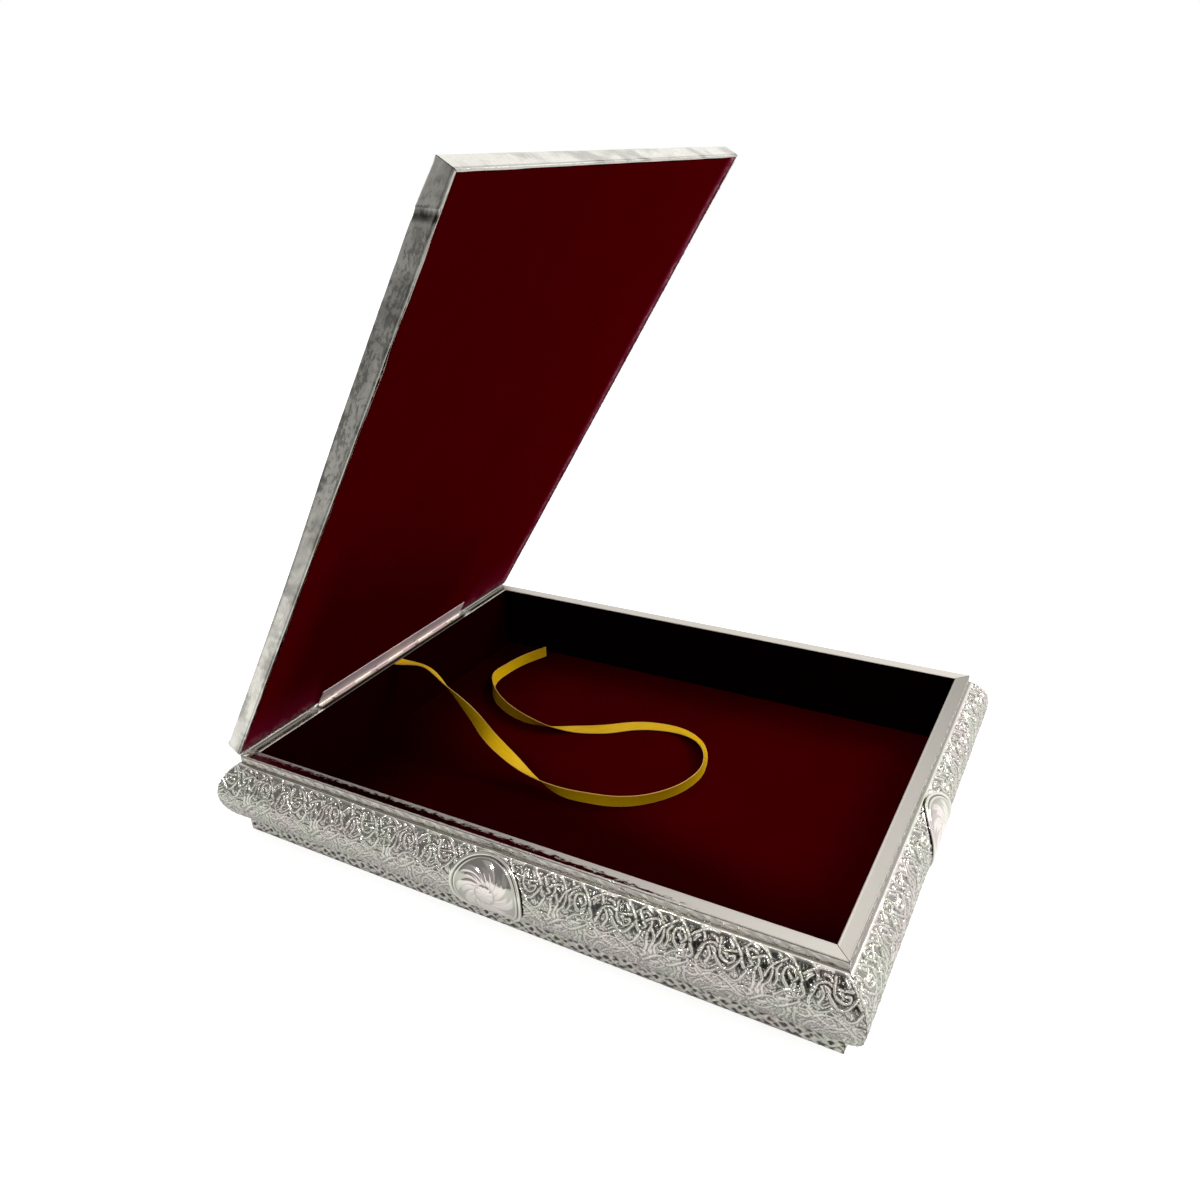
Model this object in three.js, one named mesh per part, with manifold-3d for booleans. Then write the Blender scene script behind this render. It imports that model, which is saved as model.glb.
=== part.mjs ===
import * as THREE from 'three';
import { mergeVertices } from 'three/addons/utils/BufferGeometryUtils.js';
import Module from 'manifold-3d';

// Storage box for a holy book: a wooden tray with bulging walls under embossed silver sheet,
// lined with velvet, with a flat lid on one long hinge strip and a marker ribbon inside.
// Millimetres, +Z up. The hinge is at the rear (-X) and the front faces +X. The origin lies on
// the table under the middle of the tray. The lid stands at its rest angle.

// Tray over its rim
const rimLength = 280;
const rimWidth = 213;
const rimTopHeight = 40.5;
const rimFlatWidth = 6;
const rimBandHeight = 4;

// Bulging wall below the rim, and the low plinth under it
const plinthHeight = 6.5;
const plinthStep = 1;
const mouldingStep = 1;
const mouldingBulge = 8.3;
const mouldingSegments = 16;

// Silver sheet, and the gap left between seated pieces
const sheetThickness = 0.6;
const seatGap = 0.25;

// Wood, velvet and board thicknesses
const wallThickness = 3.75;
const boardThickness = 2.2;
const coverThickness = 0.5;
const liningThickness = 0.9;

// Round medallions on the four bulging walls
const medallionMargin = 0.5;
const medallionRingWidth = 2;
const medallionRingHeight = 1;
const medallionFieldThickness = 0.4;
const medallionBossRadius = 4.5;
const medallionBossHeight = 0.9;
const medallionTurns = 32;
const medallionSteps = 5;
const ringSegments = 4;
const bossSegments = 2;

// Lid, a little larger than the rim
const lidLength = 282;
const lidWidth = 215.8;
const lidThickness = 8.3;
const lidInnerFlangeWidth = 0.9;
const lidOuterFlangeWidth = 4;
const lidLiningThickness = 0.6;
const lidLiningCornerRadius = 2.2;
const lidCornerSegments = 4;
const lidRosetteRadius = 23;
const lidRosetteTurns = 40;
const restAngle = THREE.MathUtils.degToRad(57.85);

// Hinge strip on top of the rear rim; its line lies inside the rim's rear face
const hingeInset = 2;
const hingeLength = 116;
const hingeKnuckles = 9;
const barrelRadius = 0.65;
const pinRadius = 0.3;
const pinClearance = 0.05;
const pinHeadRadius = 0.6;
const pinHeadThickness = 0.5;
const leafThickness = 0.4;
const leafSeatGap = 0.2;
const leafClosedGap = 0.3;
const boxLeafReach = 3.4;
const lidLeafReach = 9.8;
const knuckleGap = 0.25;
const roundSegments = 20;

// Nails of the hinge leaves
const hingeNailReach = 1.8;
const hingeNailHeadRadius = 0.75;
const hingeNailShankRadius = 0.35;
const hingeNailLength = 7;
const lidNailLength = 5.5;
const hingeNailCount = 4;
const nailSegments = 8;

// Nails of the base board
const baseNailHeadRadius = 1.4;
const baseNailHeadHeight = 0.9;
const baseNailShankRadius = 0.55;
const baseNailLength = 12;
const baseNailsPerSide = 2;

// Marker ribbon and the hidden end that holds it
const ribbonWidth = 6.5;
const ribbonThickness = 0.35;
const ribbonTailLength = 13;
const ribbonExitOffset = -2;
const ribbonGap = 0.3;
const ribbonSteps = 110;
const ribbonDivisions = 4;

// Shares: the whole of a span, the merge distance as a share of the sheet, the nails' point as
// a share of their shank radius, and where the outer nails stand as a share of half a side
const wholeShare = 1;
const mergeShare = 0.0002;
const nailPointShare = 2;
const baseNailSpreadShare = 0.6;
const hingeNailSpreadShare = 0.84;

// Route of the free ribbon: shares of the half inner length and half inner width from the
// middle, the lift above lying on the floor as a share of the depth, and the roll in degrees
// (0 lies flat, 90 stands on edge)
const ribbonRouteShares = [
  [-0.864, -0.007, 0.905, -32],
  [-0.725, -0.077, 0.755, -60],
  [-0.598, -0.129, 0.555, -102],
  [-0.479, -0.194, 0.402, -145],
  [-0.367, -0.230, 0.272, -177],
  [-0.259, -0.254, 0.075, -220],
  [-0.145, -0.275, 0, -254],
  [-0.028, -0.262, 0, -263],
  [0.075, -0.222, 0, -261],
  [0.161, -0.140, 0, -257],
  [0.230, -0.008, 0, -258],
  [0.256, 0.145, 0, -266],
  [0.231, 0.284, 0, -286],
  [0.165, 0.413, 0, -326],
  [0.074, 0.483, 0, -351],
  [-0.025, 0.482, 0, -362],
  [-0.116, 0.430, 0, -368],
  [-0.212, 0.333, 0, -371],
  [-0.323, 0.272, 0, -358],
  [-0.414, 0.217, 0, -325],
  [-0.529, 0.213, 0, -285],
  [-0.655, 0.272, 0, -262],
  [-0.763, 0.375, 0, -258],
  [-0.830, 0.514, 0, -285],
  [-0.829, 0.647, 0, -274],
  [-0.806, 0.786, 0, -270],
  [-0.761, 0.928, 0, -269],
];

// Heights that follow from the sizes above
const mouldingBottom = plinthHeight + seatGap;
const mouldingTop = rimTopHeight - rimBandHeight - seatGap;
const mouldingHeight = mouldingTop - mouldingBottom;
const boardBottom = coverThickness + seatGap;
const boardTop = boardBottom + boardThickness;
const wallBottom = boardTop + seatGap;
const wallTop = rimTopHeight - sheetThickness - seatGap;
const floorTop = wallBottom + liningThickness;
const innerDepth = rimTopHeight - floorTop;

// Outsets, counted outward from the rim band's outer face
const plinthFace = plinthStep - sheetThickness - seatGap;
const bandBack = -sheetThickness - seatGap;
const wallInner = bandBack - wallThickness;
const liningBack = wallInner - seatGap;
const liningFace = liningBack - liningThickness;
const innerHalfLength = rimLength / 2 + liningFace;
const innerHalfWidth = rimWidth / 2 + liningFace;

// Arc of the bulging wall: its radius, centre and the half angle it spans
const arcRadius = (mouldingHeight ** 2 / 4 + mouldingBulge ** 2) / (2 * mouldingBulge);
const arcCentreOutset = mouldingStep + mouldingBulge - arcRadius;
const arcCentreHeight = (mouldingTop + mouldingBottom) / 2;
const medallionSeatRadius = arcRadius + seatGap;
const arcHalfAngle = Math.asin(mouldingHeight / 2 / arcRadius);
const medallionRadius = arcRadius * arcHalfAngle - medallionMargin;

// Half of the gap at a mitre, measured along the strip
const mitreInset = seatGap * Math.SQRT1_2;

// Hinge line, and the lid's faces counted up from it with the lid closed
const pivotX = -rimLength / 2 + hingeInset;
const pivotHeight = rimTopHeight + leafSeatGap + leafThickness + leafClosedGap / 2;
const lidInnerFace = leafClosedGap / 2 + leafThickness + leafSeatGap;
const lidOuterFace = lidInnerFace + lidThickness;
const lidBoardInner = lidInnerFace + sheetThickness + seatGap;
const lidBoardOuter = lidOuterFace - sheetThickness - seatGap;
const lidBoardInset = sheetThickness + seatGap;
const lidMiddle = lidLength / 2;
const knucklePitch = hingeLength / hingeKnuckles;
const boreRadius = pinRadius + pinClearance;

// The four sides of a rectangle. The left side lies along X with its outer face to -Y; the
// others are turned about Z by the cosine and sine given here.
function sidesOf(length, width) {
  return [
    { name: 'left', cos: 1, sin: 0, halfAlong: length / 2, halfAcross: width / 2 },
    { name: 'front', cos: 0, sin: 1, halfAlong: width / 2, halfAcross: length / 2 },
    { name: 'right', cos: -1, sin: 0, halfAlong: length / 2, halfAcross: width / 2 },
    { name: 'rear', cos: 0, sin: -1, halfAlong: width / 2, halfAcross: length / 2 },
  ];
}
const sides = sidesOf(rimLength, rimWidth);
const lidSides = sidesOf(lidLength, lidWidth);

const wasm = await Module();
wasm.setup();

const silver = { color: 0xc8c7c2, metalness: 1, roughness: 0.32 };
const wood = { color: 0x8a6238, metalness: 0, roughness: 0.75 };
const velvet = { color: 0x4d0006, metalness: 0, roughness: 0.95 };
const satin = { color: 0xc8a018, metalness: 0, roughness: 0.45 };
const paper = { color: 0x2c2624, metalness: 0, roughness: 0.9 };
const steel = { color: 0x9c9c98, metalness: 1, roughness: 0.4 };

// One closed body: vertices joined, spare attributes and collapsed faces left out
function solid(geometry) {
  geometry.deleteAttribute('normal');
  geometry.deleteAttribute('uv');
  const merged = mergeVertices(geometry, mergeShare * sheetThickness);
  const index = merged.index.array;
  const kept = [];
  for (let i = 0; i < index.length; i += 3) {
    const [a, b, c] = [index[i], index[i + 1], index[i + 2]];
    if (a !== b && b !== c && c !== a) {
      kept.push(a, b, c);
    }
  }
  merged.setIndex(kept);
  return merged;
}

// Every vertex moved to the place that the given function returns
function reshape(geometry, place) {
  const position = geometry.attributes.position;
  for (let i = 0; i < position.count; i += 1) {
    position.setXYZ(i, ...place(position.getX(i), position.getY(i), position.getZ(i)));
  }
  return solid(geometry);
}

function manifoldOf(geometry) {
  const body = solid(geometry);
  const mesh = new wasm.Mesh({
    numProp: 3,
    vertProperties: new Float32Array(body.attributes.position.array),
    triVerts: new Uint32Array(body.index.array),
  });
  return new wasm.Manifold(mesh);
}

function geometryOf(manifold) {
  const mesh = manifold.getMesh();
  const geometry = new THREE.BufferGeometry();
  const positions = new Float32Array(mesh.vertProperties);
  geometry.setAttribute('position', new THREE.BufferAttribute(positions, 3));
  geometry.setIndex(new THREE.BufferAttribute(new Uint32Array(mesh.triVerts), 1));
  return geometry;
}

// The geometry less every tool in the list
function cut(geometry, tools) {
  let body = manifoldOf(geometry);
  for (const tool of tools) {
    body = body.subtract(manifoldOf(tool));
  }
  return geometryOf(body);
}

function block(x0, x1, y0, y1, z0, z1) {
  const geometry = new THREE.BoxGeometry(x1 - x0, y1 - y0, z1 - z0);
  geometry.translate((x0 + x1) / 2, (y0 + y1) / 2, (z0 + z1) / 2);
  return solid(geometry);
}

// A plate as large as a rectangle of sides with the given outset, between two heights
function plate([side], outset, z0, z1) {
  const x = side.halfAlong + outset;
  const y = side.halfAcross + outset;
  return block(-x, x, -y, y, z0, z1);
}

// A body turned from the left side to another side
function turned(geometry, side) {
  return reshape(geometry, (x, y, z) => [x * side.cos - y * side.sin, x * side.sin + y * side.cos, z]);
}

// A straight strip on one side of the tray or lid, of a section given as outset and height, with its
// ends cut at the corner mitres
function strip(section, side) {
  const shape = new THREE.Shape(section.map(([outset, height]) => new THREE.Vector2(outset, height)));
  const bar = new THREE.ExtrudeGeometry(shape, { depth: wholeShare, bevelEnabled: false });
  const placed = reshape(bar, (outset, height, share) => [
    (1 - 2 * share) * (side.halfAlong + outset - mitreInset),
    -(side.halfAcross + outset),
    height,
  ]);
  return turned(placed, side);
}

// Points on the wall's arc, or on one inside it, from one height to another
function arcPoints(radius, fromHeight, toHeight) {
  const from = Math.asin((fromHeight - arcCentreHeight) / radius);
  const to = Math.asin((toHeight - arcCentreHeight) / radius);
  const points = [];
  for (let i = 0; i <= mouldingSegments; i += 1) {
    const angle = from + (to - from) * (i / mouldingSegments);
    points.push([
      arcCentreOutset + radius * Math.cos(angle),
      arcCentreHeight + radius * Math.sin(angle),
    ]);
  }
  return points;
}

// A turned body from its profile of radius and height, with its axis upright
function turnedBody(profile, turns) {
  const points = profile.map(([radius, height]) => new THREE.Vector2(radius, height));
  const geometry = new THREE.LatheGeometry(points, turns);
  geometry.rotateX(Math.PI / 2);
  return solid(geometry);
}

// Countersunk nail with its head's face at height zero and its point down
function nail(headRadius, headHeight, shankRadius, length) {
  return turnedBody([
    [0, -length],
    [shankRadius, -length + nailPointShare * shankRadius],
    [shankRadius, -headHeight],
    [headRadius, 0],
    [0, 0],
  ], nailSegments);
}

// Room for that nail: the same form, wider by the gap and standing above the head's face
function nailHole(headRadius, headHeight, shankRadius, length) {
  const gap = seatGap;
  return turnedBody([
    [0, -length - gap],
    [shankRadius + gap, -length - gap],
    [shankRadius + gap, -headHeight - gap],
    [headRadius + gap, -gap / 2],
    [headRadius + gap, gap],
    [0, gap],
  ], nailSegments);
}

// Copies of a body at each place of a list, its point up where flip is set
function placed(make, places, flip) {
  return places.map(([x, y, z]) => {
    const body = make();
    if (flip) {
      body.rotateX(Math.PI);
    }
    body.translate(x, y, z);
    return body;
  });
}

// A disc with a standing ring round its rim and a low boss in its middle, in radius and height
function discProfile(radius, steps) {
  const profile = [];
  for (let i = 0; i <= steps; i += 1) {
    profile.push([radius * (i / steps), 0]);
  }
  const ringMiddle = radius - medallionRingWidth / 2;
  for (let i = 0; i <= ringSegments; i += 1) {
    const angle = Math.PI * (i / ringSegments);
    profile.push([
      ringMiddle + (medallionRingWidth / 2) * Math.cos(angle),
      medallionFieldThickness + (medallionRingHeight - medallionFieldThickness) * Math.sin(angle),
    ]);
  }
  const fieldEdge = radius - medallionRingWidth;
  for (let i = 1; i < steps - 1; i += 1) {
    const share = i / (steps - 1);
    profile.push([fieldEdge + (medallionBossRadius - fieldEdge) * share, medallionFieldThickness]);
  }
  for (let i = 0; i < bossSegments; i += 1) {
    const angle = (Math.PI / 2) * (i / bossSegments);
    profile.push([
      medallionBossRadius * Math.cos(angle),
      medallionFieldThickness + (medallionBossHeight - medallionFieldThickness) * Math.sin(angle),
    ]);
  }
  profile.push([0, medallionBossHeight]);
  return profile;
}

// The disc bent round the wall's arc, on the middle of one side
function medallion(side) {
  const disc = turnedBody(discProfile(medallionRadius, medallionSteps), medallionTurns);
  const bent = reshape(disc, (x, y, height) => {
    const angle = y / medallionSeatRadius;
    const radius = medallionSeatRadius + height;
    return [
      x,
      -(side.halfAcross + arcCentreOutset + radius * Math.cos(angle)),
      arcCentreHeight + radius * Math.sin(angle),
    ];
  });
  return turned(bent, side);
}

// Places of the base nails: a row under the wood of each side, seen from below
const baseNailOutset = (wallInner + plinthFace) / 2;
const baseNailPlaces = [];
for (const side of sides) {
  for (let i = 0; i < baseNailsPerSide; i += 1) {
    const share = (2 * i) / (baseNailsPerSide - 1) - 1;
    const along = share * baseNailSpreadShare * side.halfAlong;
    const across = -(side.halfAcross + baseNailOutset);
    baseNailPlaces.push([
      along * side.cos - across * side.sin,
      along * side.sin + across * side.cos,
      boardBottom,
    ]);
  }
}

// Places of the hinge nails, spread evenly along the leaves. The box leaf's are
// counted from the tray's origin, the lid leaf's from the hinge line.
const boxLeafTop = rimTopHeight + leafSeatGap + leafThickness;
const lidLeafFace = leafClosedGap / 2;
const boxNailPlaces = [];
const lidNailPlaces = [];
for (let i = 0; i < hingeNailCount; i += 1) {
  const share = (2 * i) / (hingeNailCount - 1) - 1;
  const y = share * hingeNailSpreadShare * (hingeLength / 2);
  boxNailPlaces.push([pivotX + hingeNailReach, y, boxLeafTop]);
  lidNailPlaces.push([hingeNailReach, y, lidLeafFace]);
}

const baseNail = () => nail(
  baseNailHeadRadius, baseNailHeadHeight, baseNailShankRadius, baseNailLength,
);
const baseNailHole = () => nailHole(
  baseNailHeadRadius, baseNailHeadHeight, baseNailShankRadius, baseNailLength,
);
const boxNail = () => nail(hingeNailHeadRadius, leafThickness, hingeNailShankRadius, hingeNailLength);
const boxNailHole = () => nailHole(
  hingeNailHeadRadius, leafThickness, hingeNailShankRadius, hingeNailLength,
);
const lidNail = () => nail(hingeNailHeadRadius, leafThickness, hingeNailShankRadius, lidNailLength);
const lidNailHole = () => nailHole(
  hingeNailHeadRadius, leafThickness, hingeNailShankRadius, lidNailLength,
);

// Sections of the tray's strips, as outset and height
const wallSection = [
  [wallInner, wallBottom],
  [plinthFace, wallBottom],
  [plinthFace, mouldingBottom + sheetThickness + seatGap],
  ...arcPoints(
    arcRadius - sheetThickness - seatGap,
    mouldingBottom + sheetThickness + seatGap,
    mouldingTop - sheetThickness - seatGap,
  ),
  [bandBack, mouldingTop - sheetThickness - seatGap],
  [bandBack, wallTop],
  [wallInner, wallTop],
];
const mouldingSection = [
  [plinthStep - sheetThickness, mouldingBottom],
  ...arcPoints(arcRadius, mouldingBottom, mouldingTop),
  [-sheetThickness, mouldingTop],
  [-sheetThickness, mouldingTop - sheetThickness],
  ...arcPoints(
    arcRadius - sheetThickness,
    mouldingTop - sheetThickness,
    mouldingBottom + sheetThickness,
  ),
  [plinthStep - sheetThickness, mouldingBottom + sheetThickness],
];
const rimSection = [
  [-rimFlatWidth, rimTopHeight],
  [-rimFlatWidth, rimTopHeight - sheetThickness],
  [-sheetThickness, rimTopHeight - sheetThickness],
  [-sheetThickness, rimTopHeight - rimBandHeight],
  [0, rimTopHeight - rimBandHeight],
  [0, rimTopHeight],
];
const plinthSection = [
  [plinthStep - sheetThickness, 0],
  [plinthStep, 0],
  [plinthStep, plinthHeight],
  [plinthStep - sheetThickness, plinthHeight],
];
const liningSection = [
  [liningFace, wallBottom],
  [liningBack, wallBottom],
  [liningBack, wallTop],
  [liningFace, wallTop],
];

// Section of the lid's edge strips: a channel round the board's edge, as outset and height
const lidEdgeSection = [
  [-lidInnerFlangeWidth, lidInnerFace],
  [0, lidInnerFace],
  [0, lidOuterFace],
  [-lidOuterFlangeWidth, lidOuterFace],
  [-lidOuterFlangeWidth, lidOuterFace - sheetThickness],
  [-sheetThickness, lidOuterFace - sheetThickness],
  [-sheetThickness, lidInnerFace + sheetThickness],
  [-lidInnerFlangeWidth, lidInnerFace + sheetThickness],
];

// Hidden end of the ribbon: it hangs in a pocket of the rear wall behind the velvet and comes
// out flat over the lining's notched top edge, under the rim
const tailTop = rimTopHeight - sheetThickness - seatGap;
const tailEnd = liningFace - seatGap;
const tailSection = [
  [wallInner + ribbonThickness, tailTop - ribbonTailLength],
  [wallInner + ribbonThickness, tailTop],
  [tailEnd, tailTop],
  [tailEnd, tailTop - ribbonThickness],
  [wallInner, tailTop - ribbonThickness],
  [wallInner, tailTop - ribbonTailLength],
];

// A strip on the rear side with square ends, round the ribbon's place
function rearPiece(section, width) {
  const shape = new THREE.Shape(section.map(([outset, height]) => new THREE.Vector2(outset, height)));
  const bar = new THREE.ExtrudeGeometry(shape, { depth: wholeShare, bevelEnabled: false });
  return reshape(bar, (outset, height, share) => [
    -(rimLength / 2 + outset),
    ribbonExitOffset + (share - 0.5) * width,
    height,
  ]);
}

// Pocket in the rear wall and notch in the rear lining
const slotWidth = ribbonWidth + 2 * seatGap;
const pocketSection = [
  [wallInner - seatGap, tailTop - ribbonTailLength - seatGap],
  [wallInner + ribbonThickness + seatGap, tailTop - ribbonTailLength - seatGap],
  [wallInner + ribbonThickness + seatGap, wallTop + seatGap],
  [wallInner - seatGap, wallTop + seatGap],
];
const notchSection = [
  [liningFace - seatGap, tailTop - ribbonThickness - seatGap],
  [liningBack + seatGap, tailTop - ribbonThickness - seatGap],
  [liningBack + seatGap, wallTop + seatGap],
  [liningFace - seatGap, wallTop + seatGap],
];

// The free ribbon: a flat section carried along its route and rolled about it
function ribbonBody() {
  const rest = (roll) => ribbonGap
    + Math.abs(Math.sin(roll)) * (ribbonWidth / 2)
    + Math.abs(Math.cos(roll)) * (ribbonThickness / 2);
  const points = [
    new THREE.Vector3(
      -(rimLength / 2 + tailEnd) + ribbonGap,
      ribbonExitOffset,
      tailTop - ribbonThickness / 2,
    ),
  ];
  const rolls = [new THREE.Vector3()];
  for (const [along, across, lift, degrees] of ribbonRouteShares) {
    const roll = THREE.MathUtils.degToRad(degrees);
    points.push(new THREE.Vector3(
      along * innerHalfLength,
      across * innerHalfWidth,
      floorTop + lift * innerDepth + rest(roll),
    ));
    rolls.push(new THREE.Vector3(roll, 0, 0));
  }
  const route = new THREE.CatmullRomCurve3(points, false, 'catmullrom', 0.5);
  const turns = new THREE.CatmullRomCurve3(rolls, false, 'catmullrom', 0.5);
  // both faces are divided across the width, so that a twisted stretch keeps its thickness
  const under = [];
  const over = [];
  for (let i = 0; i <= ribbonDivisions; i += 1) {
    const across = ribbonWidth * (i / ribbonDivisions - 0.5);
    under.push(new THREE.Vector2(across, -ribbonThickness / 2));
    over.unshift(new THREE.Vector2(across, ribbonThickness / 2));
  }
  const shape = new THREE.Shape([...under, ...over]);
  const band = new THREE.ExtrudeGeometry(shape, {
    depth: wholeShare,
    bevelEnabled: false,
    steps: ribbonSteps,
  });
  const upright = new THREE.Vector3(0, 0, 1);
  return reshape(band, (across, through, share) => {
    const t = route.getUtoTmapping(share);
    const middle = route.getPoint(t);
    const ahead = route.getTangent(t);
    const roll = turns.getPoint(t).x;
    const level = new THREE.Vector3().crossVectors(upright, ahead).normalize();
    const raised = new THREE.Vector3().crossVectors(ahead, level);
    const wide = level.multiplyScalar(Math.cos(roll)).addScaledVector(raised, Math.sin(roll));
    const thick = new THREE.Vector3().crossVectors(ahead, wide);
    middle.addScaledVector(wide, across).addScaledVector(thick, through);
    return middle.toArray();
  });
}

// A round bar along Y, about the hinge line
function hingeBar(radius, from, to) {
  const geometry = new THREE.CylinderGeometry(radius, radius, to - from, roundSegments);
  geometry.translate(0, (from + to) / 2, 0);
  return solid(geometry);
}

// One hinge leaf about the hinge line: a flat plate and every second knuckle, bored for the pin
// and cut back where the other leaf's knuckles turn
function hingeLeaf(reach, z0, z1, ownParity) {
  const half = hingeLength / 2;
  const flat = manifoldOf(block(0, reach, -half, half, z0, z1));
  let leaf = flat.add(manifoldOf(hingeBar(barrelRadius, -half, half)));
  for (let i = 0; i < hingeKnuckles; i += 1) {
    if (i % 2 !== ownParity) {
      const from = -half + i * knucklePitch - knuckleGap / 2;
      const slot = hingeBar(barrelRadius + knuckleGap, from, from + knucklePitch + knuckleGap);
      leaf = leaf.subtract(manifoldOf(slot));
    }
  }
  const bore = hingeBar(boreRadius, -half - seatGap, half + seatGap);
  return geometryOf(leaf.subtract(manifoldOf(bore)));
}

// The pin with its two riveted heads, about the hinge line
function hingePin() {
  const half = hingeLength / 2;
  const profile = [
    [0, -half - seatGap - pinHeadThickness],
    [pinHeadRadius, -half - seatGap - pinHeadThickness],
    [pinHeadRadius, -half - seatGap],
    [pinRadius, -half - seatGap],
    [pinRadius, half + seatGap],
    [pinHeadRadius, half + seatGap],
    [pinHeadRadius, half + seatGap + pinHeadThickness],
    [0, half + seatGap + pinHeadThickness],
  ];
  const points = profile.map(([radius, along]) => new THREE.Vector2(radius, along));
  return solid(new THREE.LatheGeometry(points, roundSegments));
}

// The lid's velvet: a thin sheet with rounded corners and its nail holes
function lidLining() {
  const halfX = lidLength / 2 - lidInnerFlangeWidth - seatGap;
  const halfY = lidWidth / 2 - lidInnerFlangeWidth - seatGap;
  const r = lidLiningCornerRadius;
  const shape = new THREE.Shape();
  shape.moveTo(-halfX + r, -halfY);
  shape.lineTo(halfX - r, -halfY);
  shape.absarc(halfX - r, -halfY + r, r, -Math.PI / 2, 0, false);
  shape.lineTo(halfX, halfY - r);
  shape.absarc(halfX - r, halfY - r, r, 0, Math.PI / 2, false);
  shape.lineTo(-halfX + r, halfY);
  shape.absarc(-halfX + r, halfY - r, r, Math.PI / 2, Math.PI, false);
  shape.lineTo(-halfX, -halfY + r);
  shape.absarc(-halfX + r, -halfY + r, r, Math.PI, 1.5 * Math.PI, false);
  const geometry = new THREE.ExtrudeGeometry(shape, {
    depth: lidLiningThickness,
    bevelEnabled: false,
    curveSegments: lidCornerSegments,
  });
  geometry.translate(lidMiddle, 0, lidInnerFace);
  return geometry;
}

const box = new THREE.Group();
box.name = 'quran_storage_box';

const lid = new THREE.Group();
lid.name = 'lid';
lid.position.set(pivotX, 0, pivotHeight);
lid.rotation.y = -restAngle;
box.add(lid);

function add(group, name, geometry, look) {
  geometry.computeVertexNormals();
  const mesh = new THREE.Mesh(geometry, new THREE.MeshStandardMaterial(look));
  mesh.name = name;
  group.add(mesh);
}

function addEach(group, name, bodies, look) {
  bodies.forEach((body, i) => add(group, `${name}_${i + 1}`, body, look));
}

// Tray
const baseNailHoles = placed(baseNailHole, baseNailPlaces, true);
const boxNailHoles = placed(boxNailHole, boxNailPlaces, false);
add(box, 'base_cover', plate(sides, plinthFace, 0, coverThickness), paper);
add(box, 'base_board', cut(plate(sides, plinthFace, boardBottom, boardTop), baseNailHoles), wood);
addEach(box, 'base_nail', placed(baseNail, baseNailPlaces, true), steel);
add(box, 'floor_lining', plate(sides, liningFace - seatGap, wallBottom, floorTop), velvet);

for (const side of sides) {
  const atRear = side.name === 'rear';
  const pocket = rearPiece(pocketSection, slotWidth);
  const notch = rearPiece(notchSection, slotWidth);
  const wallTools = [...baseNailHoles, ...(atRear ? [pocket, ...boxNailHoles] : [])];
  add(box, `${side.name}_wall`, cut(strip(wallSection, side), wallTools), wood);
  add(box, `${side.name}_moulding`, strip(mouldingSection, side), silver);
  add(box, `${side.name}_rim_strip`, cut(strip(rimSection, side), atRear ? boxNailHoles : []), silver);
  add(box, `${side.name}_plinth_strip`, strip(plinthSection, side), silver);
  add(box, `${side.name}_medallion`, medallion(side), silver);
  add(box, `${side.name}_wall_lining`, cut(strip(liningSection, side), atRear ? [notch] : []), velvet);
}

add(box, 'ribbon_tail', rearPiece(tailSection, ribbonWidth), satin);
add(box, 'ribbon', ribbonBody(), satin);

// Hinge on the tray
const boxLeaf = hingeLeaf(boxLeafReach, -leafClosedGap / 2 - leafThickness, -leafClosedGap / 2, 0);
boxLeaf.translate(pivotX, 0, pivotHeight);
const pin = hingePin();
pin.translate(pivotX, 0, pivotHeight);
add(box, 'hinge_box_leaf', cut(boxLeaf, boxNailHoles), silver);
add(box, 'hinge_pin', pin, steel);
addEach(box, 'hinge_box_nail', placed(boxNail, boxNailPlaces, false), steel);

// Lid, in its closed place about the hinge line
const lidNailHoles = placed(lidNailHole, lidNailPlaces, true);
const lidPlate = (outset, z0, z1) => {
  const body = plate(lidSides, outset, z0, z1);
  body.translate(lidMiddle, 0, 0);
  return body;
};
add(lid, 'lid_board', cut(lidPlate(-lidBoardInset, lidBoardInner, lidBoardOuter), lidNailHoles), wood);
for (const side of lidSides) {
  const edge = strip(lidEdgeSection, side);
  edge.translate(lidMiddle, 0, 0);
  add(lid, `lid_${side.name}_edge_strip`, edge, silver);
}
const lidTopSheet = lidPlate(
  -lidOuterFlangeWidth - seatGap,
  lidOuterFace - sheetThickness,
  lidOuterFace,
);
add(lid, 'lid_top_sheet', lidTopSheet, silver);
add(lid, 'lid_lining', cut(lidLining(), lidNailHoles), velvet);
const rosette = turnedBody(discProfile(lidRosetteRadius, medallionSteps), lidRosetteTurns);
rosette.translate(lidMiddle, 0, lidOuterFace + seatGap);
add(lid, 'lid_rosette', rosette, silver);
const lidLeaf = hingeLeaf(lidLeafReach, lidLeafFace, lidLeafFace + leafThickness, 1);
add(lid, 'hinge_lid_leaf', cut(lidLeaf, lidNailHoles), silver);
addEach(lid, 'hinge_lid_nail', placed(lidNail, lidNailPlaces, true), steel);

box.updateMatrixWorld(true);

export default box;
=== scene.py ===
"""Book box of wood under embossed silver sheet, with a velvet lining and a marker ribbon.

Lengths below are in millimetres and become metres where a mesh is made. The hinge is at the
rear (-X), the front faces +X, and the origin is on the table under the middle of the tray.
A side's own coordinates are: along (a), outset from the rim's face (b) and height (z).
"""
import math
import bpy
import numpy as np
from mathutils import Matrix, Vector


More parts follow.
